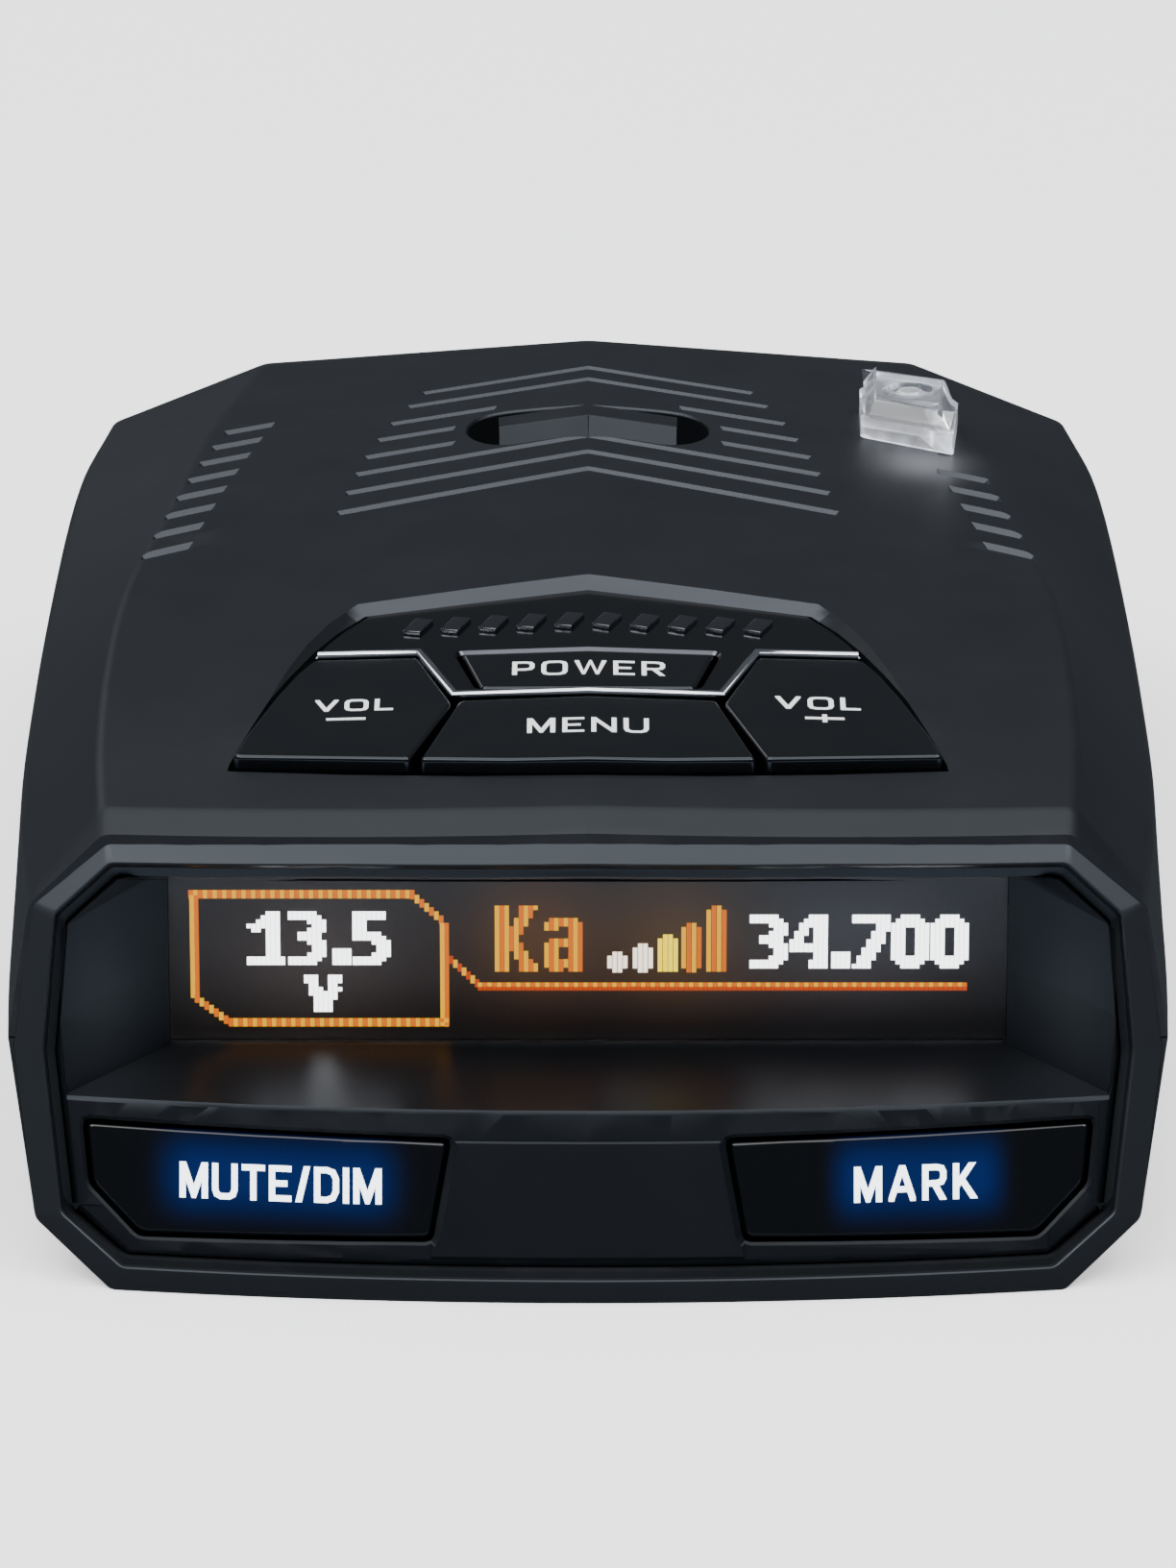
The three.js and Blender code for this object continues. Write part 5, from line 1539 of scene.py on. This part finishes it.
def displayFace():  # black glass with a soft spill of light round what is lit
    d = displaySet
    material, tree = nodeMaterial("displayFace")
    out = addNode(tree, "ShaderNodeOutputMaterial")
    skin = addNode(tree, "ShaderNodeBsdfPrincipled")
    place = addNode(tree, "ShaderNodeTexCoord")
    glows = [  # column, row, reach across, reach up, colour
        (27, 16, 26, 20, (0.030, 0.028, 0.030)), (27, 17, 40, 28, (0.022, 0.012, 0.005)),
        (72, 12, 20, 20, (0.085, 0.034, 0.004)), (101, 12, 22, 20, (0.075, 0.036, 0.006)),
        (138, 12, 34, 20, (0.040, 0.042, 0.048)), (110, 24, 60, 10, (0.020, 0.008, 0.003)),
    ]
    total = None
    for column, row, wide, tall, color in glows:
        shift = addNode(tree, "ShaderNodeMapping", vector_type="TEXTURE")
        shift.inputs["Location"].default_value = toPart((d["left"] + column * d["pitchX"], d["y"],
                                                         d["top"] - row * d["pitchZ"]))
        shift.inputs["Scale"].default_value = (wide * d["pitchX"] * 0.001, 1.0, tall * d["pitchZ"] * 0.001)
        length = addNode(tree, "ShaderNodeVectorMath", operation="LENGTH")
        flat = addNode(tree, "ShaderNodeVectorMath", operation="MULTIPLY")
        flat.inputs[1].default_value = (1, 0, 1)
        linkUp(tree, (place.outputs["Object"], shift.inputs["Vector"]), (shift.outputs[0], flat.inputs[0]),
               (flat.outputs[0], length.inputs[0]))
        square = mathNode(tree, "MULTIPLY", length.outputs["Value"], length.outputs["Value"])
        bell = mathNode(tree, "EXPONENT", mathNode(tree, "MULTIPLY", square, -2.2))
        tone = addNode(tree, "ShaderNodeMix", data_type="RGBA", blend_type="ADD")
        tone.inputs["B"].default_value = (*color, 1)
        linkUp(tree, (bell, tone.inputs["Factor"]))
        if total is None:
            tone.inputs["A"].default_value = (0.0045, 0.0045, 0.005, 1)
        else:
            linkUp(tree, (total, tone.inputs["A"]))
        total = tone.outputs["Result"]
    linkUp(tree, (total, skin.inputs["Emission Color"]), (skin.outputs[0], out.inputs[0]))
    skin.inputs["Base Color"].default_value = (0.004, 0.004, 0.005, 1)
    skin.inputs["Roughness"].default_value = 0.3
    skin.inputs["Emission Strength"].default_value = 1.0
    return material


buildDisplay()
print("display ready")


def tickTree():  # row of slanted raised ticks along X
    tree, start, end = newTree("trimTicks",
                               [("Count", "NodeSocketInt", 9), ("Pitch", "NodeSocketFloat", 0.003),
                                             ("Slant", "NodeSocketFloat", -0.3),
                                ("Size", "NodeSocketVector", None),
                                             ("Finish", "NodeSocketMaterial", None)])
    line = tree.nodes.new("GeometryNodeMeshLine")
    offset = tree.nodes.new("ShaderNodeCombineXYZ")
    turn = tree.nodes.new("ShaderNodeCombineXYZ")
    tick = tree.nodes.new("GeometryNodeMeshCube")
    copies = tree.nodes.new("GeometryNodeInstanceOnPoints")
    solid = tree.nodes.new("GeometryNodeRealizeInstances")
    finish = tree.nodes.new("GeometryNodeSetMaterial")
    linkUp(tree, (start.outputs["Count"], line.inputs["Count"]), (start.outputs["Pitch"], offset.inputs[0]),
           (offset.outputs[0], line.inputs["Offset"]), (start.outputs["Slant"], turn.inputs[2]),
           (start.outputs["Size"], tick.inputs["Size"]), (line.outputs[0], copies.inputs["Points"]),
           (tick.outputs["Mesh"], copies.inputs["Instance"]), (turn.outputs[0], copies.inputs["Rotation"]),
           (copies.outputs[0], solid.inputs[0]), (solid.outputs[0], finish.inputs["Geometry"]),
           (start.outputs["Finish"], finish.inputs["Material"]), (finish.outputs[0], end.inputs[0]))
    return tree


def buildTicks():
    settings = {"count": 10, "pitch": 2.9, "y": 51.3}
    ticks = treeMesh("trim_ticks", tickTree(),
                     {"Count": settings["count"], "Pitch": settings["pitch"] * 0.001,
                                                "Slant": -0.35, "Size": (0.0015, 0.0030, 0.0010),
                      "Finish": tickChrome})
    half = (settings["count"] - 1) * settings["pitch"] / 2
    for vert in ticks.data.vertices:
        x = vert.co.x * 1000 - half
        y = vert.co.y * 1000 + settings["y"] - 0.05 * abs(x)
        level = vert.co.z * 1000 - 0.12
        vert.co = toPart(onPad(x, y, level))
    soften = ticks.modifiers.new("soften", "BEVEL")
    soften.width = 0.00018
    soften.segments = 2
    plainMesh(ticks)
    ridePiece(ticks, "case", "dark_chrome")


buildTicks()


def screwTree():
    tree, start, end = newTree("caseScrews",
                               [("Screw", "NodeSocketObject", None),
                                ("Finish", "NodeSocketMaterial", None)])
    info = tree.nodes.new("GeometryNodeObjectInfo")
    copies = tree.nodes.new("GeometryNodeInstanceOnPoints")
    solid = tree.nodes.new("GeometryNodeRealizeInstances")
    finish = tree.nodes.new("GeometryNodeSetMaterial")
    linkUp(tree, (start.outputs["Screw"], info.inputs["Object"]),
           (start.outputs["Geometry"], copies.inputs["Points"]),
           (info.outputs["Geometry"], copies.inputs["Instance"]), (copies.outputs[0], solid.inputs[0]),
           (solid.outputs[0], finish.inputs["Geometry"]),
           (start.outputs["Finish"], finish.inputs["Material"]),
           (finish.outputs[0], end.inputs[0]))
    return tree


def buildScrews():
    place = (lambda x, y, level: (x, y + middleY, level))
    body = moulded("screwPattern", circle(0, 0, screwSet["shaft"], 24), [(0, 1.9), (0, 21.0), (-0.5, 21.5)],
                   place, blackSteel)
    head = moulded("tool", circle(0, 0, screwSet["head"], 40),
                   [(-0.35, 0.6), (0, 0.85), (0, 2.1), (-0.1, 2.2)], place, blackSteel)
    carve(body, [head], "UNION")
    arms = [(-1.5, -0.35), (-0.35, -0.35), (-0.35, -1.5), (0.35, -1.5), (0.35, -0.35), (1.5, -0.35),
            (1.5, 0.35),
            (0.35, 0.35), (0.35, 1.5), (-0.35, 1.5), (-0.35, 0.35), (-1.5, 0.35)]
    cross = moulded("tool", arms, [(0, 0), (-0.05, 1.5)], place, blackSteel)
    carve(body, [cross])
    points = [(x, y, 0) for x, y in screwSet["places"]]
    screws = treeMesh("case_screws", screwTree(), {"Screw": body, "Finish": blackSteel}, points)
    bpy.data.objects.remove(body)
    ridePiece(screws, "case", "screw_steel", "case_screw_1", "case_screw_2", "case_screw_3", "case_screw_4")


buildScrews()


springSet = {"y": 102.3, "foot": 6.65,
             "coil": {"Turns": 5.0, "Radius": 0.0022, "Wire": 0.00035, "Tall": 0.0077}}


def springTree():
    tree, start, end = newTree("releaseSpring",
                               [("Turns", "NodeSocketFloat", 5.0), ("Radius", "NodeSocketFloat", 0.0022),
                                                 ("Wire", "NodeSocketFloat", 0.00035),
                                ("Tall", "NodeSocketFloat", 0.0077),
                                                 ("Finish", "NodeSocketMaterial", None)])
    spiral = tree.nodes.new("GeometryNodeCurveSpiral")
    spiral.inputs["Resolution"].default_value = 36
    ring = tree.nodes.new("GeometryNodeCurvePrimitiveCircle")
    ring.inputs["Resolution"].default_value = 14
    tube = tree.nodes.new("GeometryNodeCurveToMesh")
    tube.inputs["Fill Caps"].default_value = True
    solid = tree.nodes.new("GeometryNodeRealizeInstances")
    finish = tree.nodes.new("GeometryNodeSetMaterial")
    linkUp(tree, (start.outputs["Turns"], spiral.inputs["Rotations"]),
           (start.outputs["Radius"], spiral.inputs["Start Radius"]),
           (start.outputs["Radius"], spiral.inputs["End Radius"]),
           (start.outputs["Tall"], spiral.inputs["Height"]),
           (start.outputs["Wire"], ring.inputs["Radius"]), (spiral.outputs[0], tube.inputs["Curve"]),
           (ring.outputs[0], tube.inputs["Profile Curve"]), (tube.outputs[0], solid.inputs[0]),
           (solid.outputs[0], finish.inputs["Geometry"]),
           (start.outputs["Finish"], finish.inputs["Material"]),
           (finish.outputs[0], end.inputs[0]))
    return tree


def buildSpring():
    spring = treeMesh("release_coil", springTree(), {**springSet["coil"], "Finish": platedSteel})
    for vert in spring.data.vertices:
        x, y, z = vert.co
        vert.co = toPart((x * 1000, y * 1000 + springSet["y"], z * 1000 + springSet["foot"]))
    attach(spring, "case")
    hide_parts("release_spring")
    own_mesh(spring)


buildSpring()
print("ticks, screws and spring ready")


def buildRelease():
    bar = [(-7.2, 97.4), (0, 100.2), (7.2, 97.4), (7.3, 102.5), (0, 105.6), (-7.3, 102.5)]
    ridge = {"y": 102.3, "sweep": 0.39, "fall": 1.15}

    def topAt(x, y):
        return roofAt(0, 101.9) + 0.75 - (y - 101.9) * 0.09 - 0.04 * abs(x)

    def place(x, y, level):
        return (x, y, topAt(x, y) if level > 0 else roofAt(x, y) - 2.1)

    button = moulded("mount_release_bar", bar, [(0, 0), (0, 1)], place, barPlastic, (0,))
    for side in (-1, 1):  # the steep front face
        def slope(x, y, level):
            crest = ridge["y"] - ridge["sweep"] * abs(x)
            return (x, y, topAt(x, crest) - ridge["fall"] * (crest - y) if level < 1 else 50)

        wedge = [(side * 9, 93), (side * 9, ridge["y"] - ridge["sweep"] * 9 + 0.001),
                 (0, ridge["y"] + 0.001), (0, 93)]
        carve(button, [moulded("tool", wedge, [(0, 0), (0, 1)], slope, barPlastic)])
    soften = button.modifiers.new("soften", "BEVEL")
    soften.width = 0.00045
    soften.segments = 3
    soften.limit_method = "ANGLE"
    soften.angle_limit = math.radians(28)
    plainMesh(button, 40)
    stem = boxTool((-3, 100, 16.2), (3, 104.6, 29.7))
    carve(button, [stem], "UNION", 40)
    ridePiece(button, "mount_release", "black_panel", "mount_release_button")


def buildLens():
    base = softened(lensSet["base"], 0.5, 2)

    def place(x, y, level):
        if level < 2.35:
            return (x, y, roofAt(x, y) + level)
        return (x, y, 34.35 - (y - 100) * 0.06 + (level - 4.0))

    foot = moulded("rear_lens", base,
                   [(-1.25, -5.0), (-1.25, 0.12), (0, 0.15), (0, 1.9), (-0.5, 2.3), (-1.1, 3.8),
                    (-1.35, 4.0)],
                   place, lensAcrylic)
    ring = moulded("tool", circle(*lensSet["eye"], lensSet["ring"], 24), [(0.4, 3.2), (0, 3.7), (0, 4.6)],
                   place, lensAcrylic)
    core = moulded("tool", circle(*lensSet["eye"], lensSet["core"], 24), [(0, 3.0), (0, 3.75), (-0.2, 3.9)],
                   place, lensAcrylic)
    carve(foot, [ring])
    carve(foot, [core], "UNION")
    ridePiece(foot, "case", "clear_lens", "rear_laser_lens")
    nose = turnedBox(11.2, 1.6, noseSet["low"], noseSet["high"], noseSet["x"], caseShape["noseEnd"] - 2.7,
                     infraredRed, 0.25)
    nose.name = "nose_window"
    ridePiece(nose, "case", "infrared_window", "nose_laser_lens")


buildRelease()
buildLens()
print("release bar and lenses ready")


finishes = {
    "display_board": boardMask, "key_board": boardMask, "front_key_board": boardMask,
            "main_board": boardMask,
    "rf_board": boardMask, "rear_laser_board": boardMask, "nose_laser_board": boardMask,
            "keypad_mat": siliconeRubber,
    "power_switch": blackPart, "menu_switch": blackPart, "volume_down_switch": blackPart,
            "volume_up_switch": blackPart,
    "mute_dim_switch": blackPart, "mark_switch": blackPart, "power_jack": blackPart,
            "audio_jack": blackPart,
    "speaker_mesh": blackPart, "speaker_frame": blackPart, "speaker_cone": blackPart,
            "usb_port": platedSteel,
    "processor_shield": platedSteel, "rf_shield": platedSteel, "mount_latch": platedSteel,
            "speaker_magnet": platedSteel,
    "horn_antenna": castAlloy, "gps_antenna": ceramicBlock, "rating_label": labelFilm,
}
for node, material in finishes.items():
    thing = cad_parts[node]
    thing.data.materials.clear()
    thing.data.materials.append(material)
